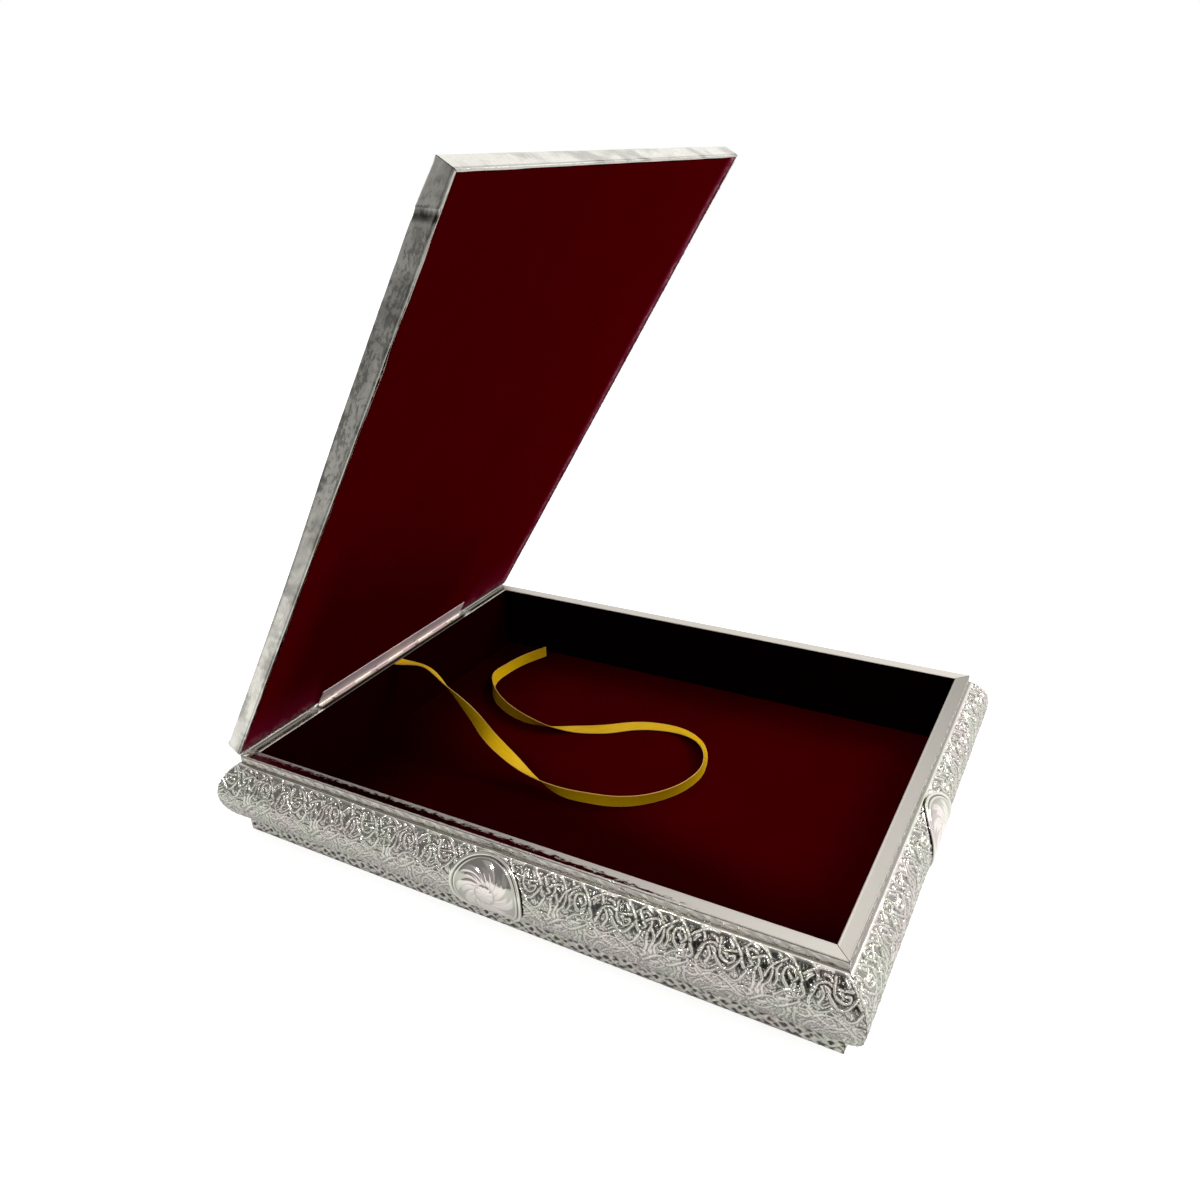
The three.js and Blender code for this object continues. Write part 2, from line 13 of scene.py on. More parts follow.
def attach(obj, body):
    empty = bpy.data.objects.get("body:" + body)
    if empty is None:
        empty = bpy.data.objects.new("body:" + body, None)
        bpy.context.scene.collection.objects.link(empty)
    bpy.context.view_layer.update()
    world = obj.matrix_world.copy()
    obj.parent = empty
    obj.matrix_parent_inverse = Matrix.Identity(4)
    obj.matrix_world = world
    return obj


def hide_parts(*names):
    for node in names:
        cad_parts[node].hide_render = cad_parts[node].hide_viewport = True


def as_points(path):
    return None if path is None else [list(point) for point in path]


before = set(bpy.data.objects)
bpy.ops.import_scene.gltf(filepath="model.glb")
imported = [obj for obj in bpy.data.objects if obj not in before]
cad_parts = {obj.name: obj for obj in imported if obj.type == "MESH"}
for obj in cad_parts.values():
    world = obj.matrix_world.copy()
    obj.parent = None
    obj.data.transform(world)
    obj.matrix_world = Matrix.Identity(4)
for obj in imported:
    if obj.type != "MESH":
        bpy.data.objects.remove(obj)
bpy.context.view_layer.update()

MM = 0.001

# Sizes from the part's source
RIM_LENGTH, RIM_WIDTH, RIM_TOP, RIM_FLAT, RIM_FOOT = 280.0, 213.0, 40.5, 6.0, 36.5
SHEET, GAP = 0.6, 0.25
PLINTH_TOP, MOULDING_BOTTOM, MOULDING_TOP, STEP_OUT = 6.5, 6.75, 36.25, 1.0
WALL_BOTTOM, WALL_TOP, FLOOR_TOP = 3.2, 39.65, 4.1
LINING_FACE, LINING_BACK = -5.75, -4.85
INNER_HALF_LENGTH, INNER_HALF_WIDTH, INNER_DEPTH = 134.25, 100.75, 36.4
MITRE_INSET = GAP * math.sqrt(0.5)
PIVOT_X, PIVOT_Z, REST = -138.0, 41.25, math.radians(57.85)
LID_LENGTH, LID_WIDTH, LID_INNER, LID_OUTER = 282.0, 215.8, 0.75, 9.05
LID_MIDDLE, LID_FLANGE, LID_LIP, ROSETTE_RADIUS = LID_LENGTH / 2, 4.0, 0.9, 23.0
RIBBON_WIDTH, RIBBON_THICKNESS, RIBBON_LIFT = 6.5, 0.35, 0.3
RIBBON_EXIT = (-133.7, -2.0, 39.475)

# The wall's bulge: its arc's radius, where the arc's axis lies, and half the arc's angle
ARC_RADIUS, ARC_OUTSET, ARC_HEIGHT = 17.2561, -7.9561, 21.5
ARC_HALF_ANGLE = math.asin((MOULDING_TOP - MOULDING_BOTTOM) / 2 / ARC_RADIUS)
MEDALLION_RADIUS, MEDALLION_SEAT = 17.19, 17.506

# Camera: on a sphere round the tray, with a roll and a slide in its own plane
AZIMUTH, ELEVATION, ROLL = math.radians(29.80701), math.radians(24.29864), math.radians(-2.36517)
DISTANCE, SHIFT_RIGHT, SHIFT_UP = (share * RIM_LENGTH for share in (1.72605, -0.04158, 0.32436))
FOCAL_PIXELS, PHOTO_PIXELS, SENSOR = 980.59408, 1200, 36.0


def make_camera():
    """Camera on a sphere round the tray, turned by the roll and slid sideways and up."""
    back = Vector((math.sin(AZIMUTH) * math.cos(ELEVATION), -math.cos(AZIMUTH) * math.cos(ELEVATION),
                   math.sin(ELEVATION)))
    level = Vector((math.cos(AZIMUTH), math.sin(AZIMUTH), 0.0))
    upright = back.cross(level)
    right = math.cos(ROLL) * level + math.sin(ROLL) * upright
    up = -math.sin(ROLL) * level + math.cos(ROLL) * upright
    eye = (back * DISTANCE + right * SHIFT_RIGHT + up * SHIFT_UP) * MM
    data = bpy.data.cameras.new("photo_camera")
    data.sensor_width = SENSOR
    data.lens = FOCAL_PIXELS / PHOTO_PIXELS * SENSOR
    data.clip_start, data.clip_end = 0.01, 20.0
    camera = bpy.data.objects.new("photo_camera", data)
    camera.matrix_world = Matrix((
        (right.x, up.x, back.x, eye.x), (right.y, up.y, back.y, eye.y),
        (right.z, up.z, back.z, eye.z), (0, 0, 0, 1)))
    bpy.context.scene.collection.objects.link(camera)
    bpy.context.scene.camera = camera


make_camera()


# Places on the tray and on the lid
def sides_of(length, width):
    """Cosine and sine of each side's turn about Z, then its half length and half distance."""
    return {"left": (1, 0, length / 2, width / 2), "front": (0, 1, width / 2, length / 2),
            "right": (-1, 0, length / 2, width / 2), "rear": (0, -1, width / 2, length / 2)}


SIDES, LID_SIDES = sides_of(RIM_LENGTH, RIM_WIDTH), sides_of(LID_LENGTH, LID_WIDTH)


def on_side(side, along, outset, height, sides=SIDES):
    """A point of a side in the tray's frame: (a, -(d + b), z) turned about Z to that side."""
    cos, sin, _, across = sides[side]
    x, y = along, -(across + outset)
    return np.stack(np.broadcast_arrays(x * cos - y * sin, x * sin + y * cos, height), -1)


def on_lid(points):
    """A point of the closed lid, (u, y, w) from the hinge line, swung up to its rest angle."""
    u, y, w = points[..., 0], points[..., 1], points[..., 2]
    x = PIVOT_X + u * math.cos(REST) - w * math.sin(REST)
    z = PIVOT_Z + u * math.sin(REST) + w * math.cos(REST)
    return np.stack([x, y, z], -1)


def bulge(angle, radius):
    """Outset and height of a point at that angle and radius about the wall bulge's axis."""
    return ARC_OUTSET + radius * np.cos(angle), ARC_HEIGHT + radius * np.sin(angle)


# Meshes
def make_piece(name, body, material, points, stands_for, poles=None, uv=None, shade=None, worn=None,
               sharp=50.0):
    """A closed surface from a grid of points, rows by columns, whose neighbours are joined by
    quads. Without poles the rows wrap round, and one flat face caps the columns at each end.
    With poles the columns wrap round, and a fan of triangles closes the end rows to them."""
    rows, columns = points.shape[:2]
    vertices, disc = points.reshape(-1, 3), poles is not None
    i = np.arange(rows - 1 if disc else rows)[:, None]
    j = np.arange(columns if disc else columns - 1)[None]
    down, right = (i + 1) % rows, (j + 1) % columns
    quads = np.stack([i * columns + j, i * columns + right, down * columns + right, down * columns + j], -1)
    if disc:
        vertices = np.vstack([vertices, poles])
        j, right, first, last = j[0], right[0], rows * columns, (rows - 1) * columns
        ends = [np.stack([np.full(columns, first), right, j], -1),
                np.stack([np.full(columns, first + 1), last + j, last + right], -1)]
    else:
        ring = np.arange(rows)[None] * columns
        ends = [ring, ring[:, ::-1] + columns - 1]
    fields = {}
    # the first field is painted shade and patina on the silver pieces, and the paler selvedges on the ribbon
    for label, field in (("painted_shade_patina_selvedge", shade), ("worn", worn)):
        if field is not None:
            fields[label] = np.zeros(len(vertices), np.float32)
            fields[label][:rows * columns] = field.reshape(-1)
    flat = None if uv is None else (uv.reshape(-1, 2) * MM).astype(np.float32)
    return add_piece(name, body, material, vertices, [quads.reshape(-1, 4)] + ends, stands_for,
                     flat, fields, sharp)


def add_piece(name, body, material, vertices, groups, stands_for, flat, fields, sharp):
    """The mesh and object of one piece, riding on its body. Each group holds faces with the
    same number of corners, flat the places on the strip in metres, and fields one number for
    each vertex."""
    counts = np.concatenate([np.full(len(group), group.shape[1]) for group in groups])
    corners = np.concatenate([group.reshape(-1) for group in groups])
    mesh = bpy.data.meshes.new(name)
    mesh.vertices.add(len(vertices))
    mesh.vertices.foreach_set("co", (vertices * MM).astype(np.float32).reshape(-1))
    mesh.loops.add(corners.size)
    mesh.loops.foreach_set("vertex_index", corners.astype(np.int32))
    mesh.polygons.add(counts.size)
    mesh.polygons.foreach_set("loop_start", (np.cumsum(counts) - counts).astype(np.int32))
    mesh.polygons.foreach_set("use_smooth", np.ones(counts.size, bool))
    if flat is not None:
        mesh.uv_layers.new(name="strip").data.foreach_set("uv", flat[corners].reshape(-1))
    for label, values in fields.items():
        mesh.attributes.new(label, "FLOAT", "POINT").data.foreach_set("value", values)
    mesh.update(calc_edges=True)
    mesh.validate()
    mesh.set_sharp_from_angle(angle=math.radians(sharp))
    mesh.materials.append(material)
    piece = bpy.data.objects.new(name, mesh)
    bpy.context.scene.collection.objects.link(piece)
    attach(piece, body)
    if stands_for:
        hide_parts(stands_for)
    return piece


def ramp(x, start, stop):
    """0 at the start, 1 at the stop and even between them, held beyond. The start may be the
    larger of the two."""
    return np.clip((x - start) / (stop - start), 0, 1)


def hump(x, place, width):
    """A smooth hump of height 1 at the place: exp(-((x - place) / width)^2)."""
    return np.exp(-((x - place) / width) ** 2)


def ripple(a, b, size, seed, waves=9):
    """Smooth unevenness from -1 to 1: the mean of sines whose wavelengths lie about size, in
    random directions with random phases."""
    draw = np.random.default_rng(seed)
    total = 0.0
    for _ in range(waves):
        turn, phase = draw.uniform(0, 2 * np.pi, 2)
        length = size * draw.uniform(0.6, 1.7)
        total = total + np.sin(2 * np.pi * (a * np.cos(turn) + b * np.sin(turn)) / length + phase)
    return total / (waves ** 0.5 * 1.4)


def rounded(corners, radius, steps=4):
    """A closed profile with each corner rounded: its point is replaced by the quadratic curve
    between points at the given radius before and after it."""
    corners = np.asarray(corners, float)
    radius = np.broadcast_to(radius, len(corners))
    out = []
    for k, corner in enumerate(corners):
        before, after = corners[k - 1] - corner, corners[(k + 1) % len(corners)] - corner
        r = min(radius[k], 0.49 * np.hypot(*before), 0.49 * np.hypot(*after))
        p, q = corner + before / np.hypot(*before) * r, corner + after / np.hypot(*after) * r
        t = np.linspace(0, 1, steps + 1)[:, None]
        out.append((1 - t) ** 2 * p + 2 * t * (1 - t) * corner + t ** 2 * q)
    return np.vstack(out)


def refined(profile, step, seen=None):
    """The closed profile with points added so that none is further than step from the next, or
    than six steps past the first seen points, on the sheet's inner faces."""
    out = []
    for k, (p, q) in enumerate(zip(profile, np.roll(profile, -1, 0))):
        reach = step if seen is None or k < seen else 6 * step
        count = max(1, int(np.ceil(np.hypot(*(q - p)) / reach)))
        out.append(p + (q - p) * (np.arange(count) / count)[:, None])
    return np.vstack(out)


def run_of(points):
    """The way along a line of points, from 0 at its first."""
    return np.r_[0, np.cumsum(np.linalg.norm(np.diff(points, axis=0), axis=1))]


def carry(side, profile, step, reshape, sides=SIDES):
    """A closed profile of outset and height carried along a side, ends on the mitre planes;
    reshape(a, b, z, way) moves the points, way being the way round the profile."""
    half = sides[side][2]
    b, way = profile[:, 0], run_of(profile)
    along = np.linspace(-1, 1, int(2 * half / step) + 1)[None] * (half + b[:, None] - MITRE_INSET)
    b, z, way = (np.broadcast_to(q[:, None], along.shape) for q in (b, profile[:, 1], way))
    b, z, shade = reshape(along, b, z, way)
    return along, b, z, way, shade


# Relief of the silver sheet: stems and leaves drawn on the upper half of one repeat of it
TILE, TILE_CELL, TILE_START, TILE_REACH = 40.3, 0.2, 4.4, 18.0
STEMS = [
    [(3.0, 17.6), (5.2, 14.6), (5.9, 12.0), (5.2, 9.0), (4.2, 6.2), (4.6, 3.6), (6.8, 2.2), (9.6, 3.0),
     (12.2, 4.8), (15.2, 4.2), (18, 2.4)],
    [(-2.2, 7.6), (-1.2, 10.0), (0.5, 12.8), (3, 15.2), (6.4, 16.9), (10, 16.8)],
    [(4.4, 8.8), (6, 11.6), (9, 12.9), (12, 12.0), (15, 12.1), (18, 13.0), (20, 15.2), (22.4, 17.4)],
    [(11.2, 15.4), (11.6, 12.4), (12.2, 9.8), (13.6, 8.5), (15.8, 8.2), (17.4, 9.2), (17.2, 10.6),
     (15.6, 10.4)],
    [(14.4, 17.4), (16.8, 15.3), (19, 12.7), (20.2, 10), (21.4, 8.2), (23.6, 7.9), (25.4, 9.6),
     (25.8, 12), (24.6, 14.4), (22.4, 15.2), (20.6, 13.6)],
    [(25, 17.6), (28, 16), (30.3, 13), (31, 10), (30.4, 7), (28.6, 4.6), (28.8, 2), (30.2, 0)],
    [(20.2, 15.2), (22.6, 12.2), (25, 13.4), (27.8, 14.4), (29.4, 12.4)],
    [(28.6, 8.2), (30.2, 12), (32.6, 14.2), (35.4, 16.8)],
    [(34.2, 17.6), (37.2, 16.0), (39.8, 13.2), (41.2, 10.5), (41.0, 7.6), (38.6, 6.2), (36.2, 7.8),
     (34.6, 10.6), (35.4, 13.4), (37.8, 13.6), (39.4, 11.2), (38.2, 9.4)],
    [(-1, 8.8), (-1.2, 6), (1, 4.2), (3.8, 3.2), (6.2, 1.2), (9, -1), (12, -2.4), (15, -2), (18, -0.2),
     (20, 1.6)],
    [(10.2, 9.2), (12, 7.2), (14, 5.6), (16.4, 6.2), (18.4, 8.6), (19.8, 11)],
    [(16, 3.8), (18.2, 2.6), (20.4, 4), (22.2, 7.4)],
    [(25, 8), (25.4, 4), (24.4, 0), (23.6, -3), (24.5, -6)],
    [(30.4, 0.4), (33, 3), (35.4, 5.4), (38.4, 6.4)],
    [(30.6, -0.4), (33, -1.9), (36, -0.8), (39, 1.6), (41.3, 3.6)],
    [(19.6, 0.2), (21, 1.5), (23.4, 1.6), (25.2, 0.2), (23.6, -1.3), (21, -1.4), (19.6, 0.2)],
    [(32.4, 6.4), (33.0, 8.8), (32.2, 11.4), (33.4, 13.4)],
    [(7.6, 15.2), (9.4, 14.9), (10.4, 13.8)], [(7.4, 10.9), (8.6, 8.4), (7.6, 5.6), (9.0, 4.4)],
    [(22.6, 11.4), (23.8, 10.2), (22.8, 9.4)], [(0.8, 9.6), (2.2, 7.4), (1.4, 5.6)],
    [(26.6, 9.8), (28.0, 7.0), (27.0, 3.4)], [(36.4, 11.6), (37.6, 10.4)],
]
LEAVES = [  # x, s, direction in degrees, length, half width
    (14.2, 15.9, -60, 3.4, 0.8), (8.4, 11.6, -70, 4.2, 0.8), (13.0, 11.0, -40, 2.8, 0.6),
    (22.6, 16.4, -20, 2.6, 0.6), (31.8, 16.6, -75, 3.2, 0.7), (2.2, 11.6, 50, 3.0, 0.7),
    (33.8, 8.4, 60, 2.8, 0.7), (16.4, 0.8, 15, 3.6, 0.9), (2.4, 1.8, 160, 3.4, 0.9),
    (27.4, 0.6, 80, 3.4, 0.9), (34.6, 1.2, 20, 4.0, 0.9), (11.0, 0.6, 30, 3.6, 0.9),
    (7.4, 7.2, 80, 2.4, 0.7), (21.8, 4.6, 70, 2.4, 0.7), (37.2, 3.8, 10, 3.0, 0.8),
    (12.6, 2.6, 20, 2.6, 0.7), (24.2, 5.0, 110, 2.2, 0.6), (31.6, 5.4, 100, 2.4, 0.6),
]
STROKE_STEP = 0.35


def smooth_line(points, step=STROKE_STEP):
    """Points about step apart on the Catmull-Rom curve through the given ones."""
    p = np.asarray(points, float)
    p = np.vstack([2 * p[0] - p[1], p, 2 * p[-1] - p[-2]])
    out = []
    for a, b, c, d in zip(p[:-3], p[1:-2], p[2:-1], p[3:]):
        t = np.linspace(0, 1, max(3, int(np.linalg.norm((c - b)[:2]) / step) + 1))[:, None]
        out.append(0.5 * (2 * b + (c - a) * t + (2 * a - 5 * b + 4 * c - d) * t ** 2
                          + (3 * b - a - 3 * c + d) * t ** 3))
    return np.vstack(out)


def raise_stroke(field, dark, across, up, line, width, height, groove):
    """One stroke worked over what is there, as a chaser does: a rounded ridge along the line,
    height * sqrt(1 - r^2), where r is the distance to the line over its half width, less a
    groove along its middle, which is darkened as painted shade. Where the stroke lies over
    others, an outline exp(-(gap / 0.24)^2) is cut in them on both sides and darkened, as patina
    and painted shade."""
    rows = (up[:, 0] > line[:, 1].min() - 2) & (up[:, 0] < line[:, 1].max() + 2)
    dx = (across[rows][..., None] - line[:, 0] + TILE / 2) % TILE - TILE / 2
    r = np.hypot(dx, up[rows][..., None] - line[:, 1]) / width
    near = r.argmin(-1)
    r = np.take_along_axis(r, near[..., None], -1)[..., 0]
    wide = np.broadcast_to(width, len(line))[near]
    tall = np.broadcast_to(height, len(line))[near]
    ridge = np.sqrt(np.clip(1 - r ** 2, 0, 1)) * (1 - groove * hump(r, 0, 0.28)) * tall
    below, shaded = field[rows], dark[rows]
    over = tall * 1.02 > below
    outline = np.clip(1.5 * hump((r - 1) * wide, 0.06, 0.24), 0, 1) * (r > 1) * over * ramp(wide, 0, 0.25)
    inside = (r <= 1) & over
    field[rows] = np.where(inside, ridge, below * (1 - 0.85 * outline))
    # painted shade darkens the groove and, with patina, the outlines
    dark[rows] = np.where(inside, groove * hump(r, 0, 0.3), np.maximum(shaded, 0.8 * outline))


def leaf_line(x, s, degrees, length, bend=0.22):
    """A bowed line of that length, bent to the side by the share bend of its length."""
    t = np.linspace(0, 1, 12)
    turn = math.radians(degrees)
    side = bend * length * np.sin(np.pi * t)
    return np.stack([x + t * length * np.cos(turn) - side * np.sin(turn),
                     s + t * length * np.sin(turn) + side * np.cos(turn)], 1)


def both_ways(path):
    """A line of the tile's upper half, and the same turned half round in the lower half."""
    return path, np.stack([TILE * 0.62 - path[:, 0], -path[:, 1]], 1)


def make_tile():
    """One repeat of the scroll relief, 0 at the ground to 1 on the ridges, and its darkness, patina
    and painted shade, on a grid of the place along the wall by the arc from the bulge's middle.
    Thin mirrored stems come first, then leaves, then the main stems, which weave: their height
    swings along them."""
    across, up = np.meshgrid(np.arange(0, TILE - 0.01, TILE_CELL),
                             np.arange(-TILE_REACH, TILE_REACH + 0.01, TILE_CELL))
    field, dark = np.zeros_like(across), np.zeros_like(across)
    for k, stem in enumerate(STEMS):
        for path in both_ways(smooth_line(stem)):
            for shift, lift in ((0.57, -1.3), (0.23, 0.9)):
                under = path * (-1, 1) + (TILE * shift, lift)
                thin = 0.32 * np.clip((8.5 - under[:, 1]) / 3, 0.03, 1)
                raise_stroke(field, dark, across, up, under, thin, 0.5 + 0.02 * (k % 3), 0.0)
    for x, s, degrees, length, width in LEAVES:
        line = leaf_line(x, s, degrees, length)
        taper = 0.9 * width * np.sin(np.pi * np.linspace(0.06, 0.97, len(line))) ** 0.7 + 0.1
        for path in both_ways(line):
            raise_stroke(field, dark, across, up, path, taper, 0.62, 0.3)
    for k, stem in enumerate(STEMS):
        line = smooth_line(stem)
        run = np.arange(len(line)) * STROKE_STEP
        weave = 0.86 + 0.14 * np.sin(2 * np.pi * run / 7.5 + 1.7 * k)
        for path in both_ways(line):
            low = ramp(path[:, 1], -6, 8)
            raise_stroke(field, dark, across, up, path, 0.49, weave * (0.8 + 0.2 * low), 0.5)
    return np.stack([field, dark], -1)


TILE_LAYERS = make_tile()


def tile_at(along, arc):
    """The tile's height and darkness at any place, between its four nearest cells."""
    rows, columns = TILE_LAYERS.shape[:2]
    x = ((along - TILE_START) % TILE) / TILE * columns
    y = np.clip((arc + TILE_REACH) / TILE_CELL, 0, rows - 1.001)
    i, j = y.astype(int), x.astype(int) % columns
    fy, fx, k = (y - i)[..., None], (x - np.floor(x))[..., None], (x.astype(int) + 1) % columns
    cell = ((TILE_LAYERS[i, j] * (1 - fx) + TILE_LAYERS[i, k] * fx) * (1 - fy)
            + (TILE_LAYERS[i + 1, j] * (1 - fx) + TILE_LAYERS[i + 1, k] * fx) * fy)
    return cell[..., 0], cell[..., 1]


def scroll_ground(along, arc, ridge, dark, ground_shade):
    """Height and darkness of the ground between the scrolls: fine curls, which are the lines
    where a smooth unevenness is zero, a dark outline by each scroll, and the open ground
    darkened by the share given last, as painted shade and painted reflection."""
    curls = hump(ripple(along, arc, 3.4, 15), 0, 0.2)
    ground = ramp(ridge, 0.3, 0)
    # painted shade and painted reflection: the open ground darkened, a little less on the curls
    shade_and_patina = np.maximum(dark, ground * ground_shade * (1 - 0.3 * curls))
    return 0.16 * curls * ground, np.clip(shade_and_patina, 0, 1)


def moulding_relief(along, arc, pocket_shade):
    """Height over the arc, in mm, and how dark it is, 0 to 1. The ground is sunk most near the
    top edge and painted darkest there, as painted reflection of the dark room, times a share of
    painted shade given for each side; all of it is level under the medallion."""
    ridge, outline = tile_at(along, arc)
    top = ramp(arc, 5, 10)
    edge = ramp(np.abs(arc), 17.4, 16.2)
    # painted reflection: the open ground is painted darker towards the top edge
    fine, dark = scroll_ground(along, arc, ridge, outline, np.clip(0.4 + 1.1 * top, 0, 1) * pocket_shade)
    height = (-0.35 - 0.3 * top + ridge * (0.78 + 0.28 * top) + 1.3 * fine) * edge
    height = height + 0.05 * ripple(along, arc, 9.0, 5)
    under = ramp(np.hypot(along, arc), 17.2, 18)
    return height * under - 0.25 * (1 - under), dark * edge * under


# Materials
def linear(code):
    """An sRGB hex colour as linear RGBA."""
    parts = [int(code[k:k + 2], 16) / 255 for k in (1, 3, 5)]
    return [c / 12.92 if c <= 0.04045 else ((c + 0.055) / 1.055) ** 2.4 for c in parts] + [1.0]


def add(tree, kind, inputs=(), **settings):
    """One node with its settings; each input is a value, or another node's output to link."""
    node = tree.nodes.new(kind)
    for key, value in settings.items():
        setattr(node, key, value)
    for key, value in dict(inputs).items():
        if isinstance(value, bpy.types.NodeSocket):
            tree.links.new(value, node.inputs[key])
        else:
            node.inputs[key].default_value = value
    return node


def noise(tree, place, scale, detail, **more):
    """Noise with that many waves in a metre, or in a metre of each axis."""
    if not isinstance(scale, float):
        place, scale = add(tree, "ShaderNodeMapping", {"Vector": place, "Scale": scale}).outputs[0], 1.0
    inputs = {"Vector": place, "Scale": scale, "Detail": detail, **more}
    return add(tree, "ShaderNodeTexNoise", inputs).outputs["Fac"]


def span(tree, value, low, high, start=0.0, stop=1.0, ease="LINEAR"):
    """The value carried from the range low to high over to start to stop, and held there."""
    inputs = {"Value": value, "From Min": low, "From Max": high, "To Min": start, "To Max": stop}
    return add(tree, "ShaderNodeMapRange", inputs, interpolation_type=ease).outputs["Result"]


def blend(tree, share, start, stop):
    """One colour turning into another, each a hex code or a node's output."""
    start, stop = (linear(colour) if isinstance(colour, str) else colour for colour in (start, stop))
    return add(tree, "ShaderNodeMix", {"Factor": share, "A": start, "B": stop},
               data_type="RGBA").outputs["Result"]


def sums(tree, operation, *inputs, clamp=False):
    """A sum of that kind over its inputs."""
    return add(tree, "ShaderNodeMath", enumerate(inputs), operation=operation, use_clamp=clamp).outputs[0]


def vectors(tree, operation, *inputs):
    """A vector sum of that kind: its number if it gives one, or else its vector."""
    node = add(tree, "ShaderNodeVectorMath", enumerate(inputs), operation=operation)
    return node.outputs["Value" if operation in ("DOT_PRODUCT", "LENGTH") else "Vector"]


def bump(tree, height, strength, depth):
    """The surface's direction over bumps of that depth in millimetres."""
    inputs = {"Height": height, "Strength": strength, "Distance": depth * MM}
    return add(tree, "ShaderNodeBump", inputs).outputs["Normal"]


def place_on(tree):
    """The place on the object, in metres."""
    return add(tree, "ShaderNodeTexCoord").outputs["Object"]


def strip_place(tree):
    """The place along and across the unrolled strip, in metres."""
    return add(tree, "ShaderNodeUVMap", uv_map="strip").outputs["UV"]


def painted(tree, label):
    """The numbers that the mesh carries under that label, 0 where it carries none."""
    return add(tree, "ShaderNodeAttribute", attribute_name=label).outputs["Fac"]


def new_material(name):
    """A node material and its empty tree."""
    material = bpy.data.materials.new(name)
    material.use_nodes = True
    material.node_tree.nodes.clear()
    return material, material.node_tree


def surface(tree, shader):
    """The shader made the material's surface."""
    output = add(tree, "ShaderNodeOutputMaterial")
    tree.links.new(shader.outputs[0], output.inputs[0])


def coat(tree, inputs):
    """The principled shader with those inputs made the material's surface."""
    surface(tree, add(tree, "ShaderNodeBsdfPrincipled", inputs))


def embossed_silver(name, smooth, coarse):
    """Silver-plated brass sheet, embossed: bright worn ridges, the ground dark with patina, painted shade and
    painted reflection.
    """
    material, tree = new_material(name)
    place = place_on(tree)
    # clouds of tint about 18 mm wide, one greenish and one rosy, as plating shows
    cloud = span(tree, noise(tree, place, 55.0, 2.0), 0.38, 0.62)
    tint = blend(tree, cloud, "#e7e8da", "#ede4de")
    # grain of the rolled sheet, about 0.5 mm, drawn coarser than the real one so that it shows
    grain = noise(tree, place, 2000.0, 3.0)
    # painted shade, painted reflection and patina: the base colour darkens to #191612 by the number each
    # vertex carries
    coat(tree, {"Base Color": blend(tree, painted(tree, "painted_shade_patina_selvedge"), tint, "#191612"), "Metallic": 1.0,
                "Roughness": span(tree, grain, 0.3, 0.7, smooth, coarse),
                "Normal": bump(tree, grain, 0.25, 0.08)})
    return material


def polished_silver(name, smooth, coarse, green, rose):
    """Silver-plated strip, rubbed along its length: long streaks, mirror patches where the
    plating is whole and a satin face where it is worn."""
    material, tree = new_material(name)
    place = strip_place(tree)
    # streaks 12 mm long and 0.4 mm wide
    streak = noise(tree, place, (80.0, 2500.0, 1.0), 3.0)
    # patches about 3 mm long and 1 mm wide where the plating is duller
    patch = noise(tree, place, (330.0, 900.0, 1.0), 5.0, Roughness=0.7)
    blotch = span(tree, patch, 0.35, 0.6, -0.4, 0.4)
    dull = sums(tree, "ADD", painted(tree, "worn"), blotch, clamp=True)
    tint = blend(tree, patch, green, rose)
    # painted shade and painted reflection of dark things: the base colour darkens to #2a1a13 by the number
    # each vertex carries
    coat(tree, {"Base Color": blend(tree, painted(tree, "painted_shade_patina_selvedge"), tint, "#2a1a13"), "Metallic": 1.0,
                "Roughness": span(tree, dull, 0.3, 0.7, smooth, coarse),
                "Normal": bump(tree, streak, 0.12, 0.05)})
    return material


def cotton_velvet(name, dark, light, sheen, painted_shade_patches):
    """Short cotton velvet on card: a dark red pile that lights up at a glancing angle. In places
    it is painted darker, as painted shade where shadow and the angle of view darken it: each
    entry is how much, and the ramps it is made of, a direction with the places in metres where
    the ramp is 0 and 1."""
    material, tree = new_material(name)
    place = place_on(tree)
    # pile brushed in patches about 30 mm wide
    colour = blend(tree, noise(tree, place, 32.0, 3.0), dark, light)
    # painted shade, patch by patch
    for share, ramps in painted_shade_patches:
        for way, start, stop in ramps:
            shade_ramp = span(tree, vectors(tree, "DOT_PRODUCT", place, way), start, stop, ease="SMOOTHSTEP")
            share = sums(tree, "MULTIPLY", share, shade_ramp)
        left = sums(tree, "SUBTRACT", 1.0, share)
        colour = add(tree, "ShaderNodeVectorMath", {0: colour, "Scale": left},
                     operation="SCALE").outputs["Vector"]
    # purple as the worn number rises to 0.5, and rosy in tufts 1 mm apart as it rises further
    worn = painted(tree, "worn")
    colour = blend(tree, span(tree, worn, 0.0, 0.5), colour, "#580a22")
    loose = span(tree, noise(tree, place, 500.0, 4.0), 0.42, 0.6, 0.25, 1.0)
    rubbed = sums(tree, "MULTIPLY", span(tree, worn, 0.5, 1.0), loose)
    # fibres of the pile, about 0.4 mm apart
    pile = noise(tree, place, 2500.0, 2.0)
    coat(tree, {"Base Color": blend(tree, rubbed, colour, "#a87480"), "Roughness": 0.95,
                "Specular IOR Level": 0.0, "Sheen Weight": sheen, "Sheen Roughness": 0.35,
                "Sheen Tint": linear("#a0000c"), "Normal": bump(tree, pile, 0.5, 0.3)})
    return material


def frayed_pile():
    """Loose cotton fibres at the velvet's cut edge: dusty rose, matt."""
    material, tree = new_material("frayed_cotton_pile")
    # fibres differ from one to the next, about 0.7 mm apart
    tuft = noise(tree, place_on(tree), 1400.0, 1.0)
    coat(tree, {"Base Color": blend(tree, tuft, "#3a0812", "#8c5c64"), "Roughness": 0.8,
                "Specular IOR Level": 0.2})
    return material


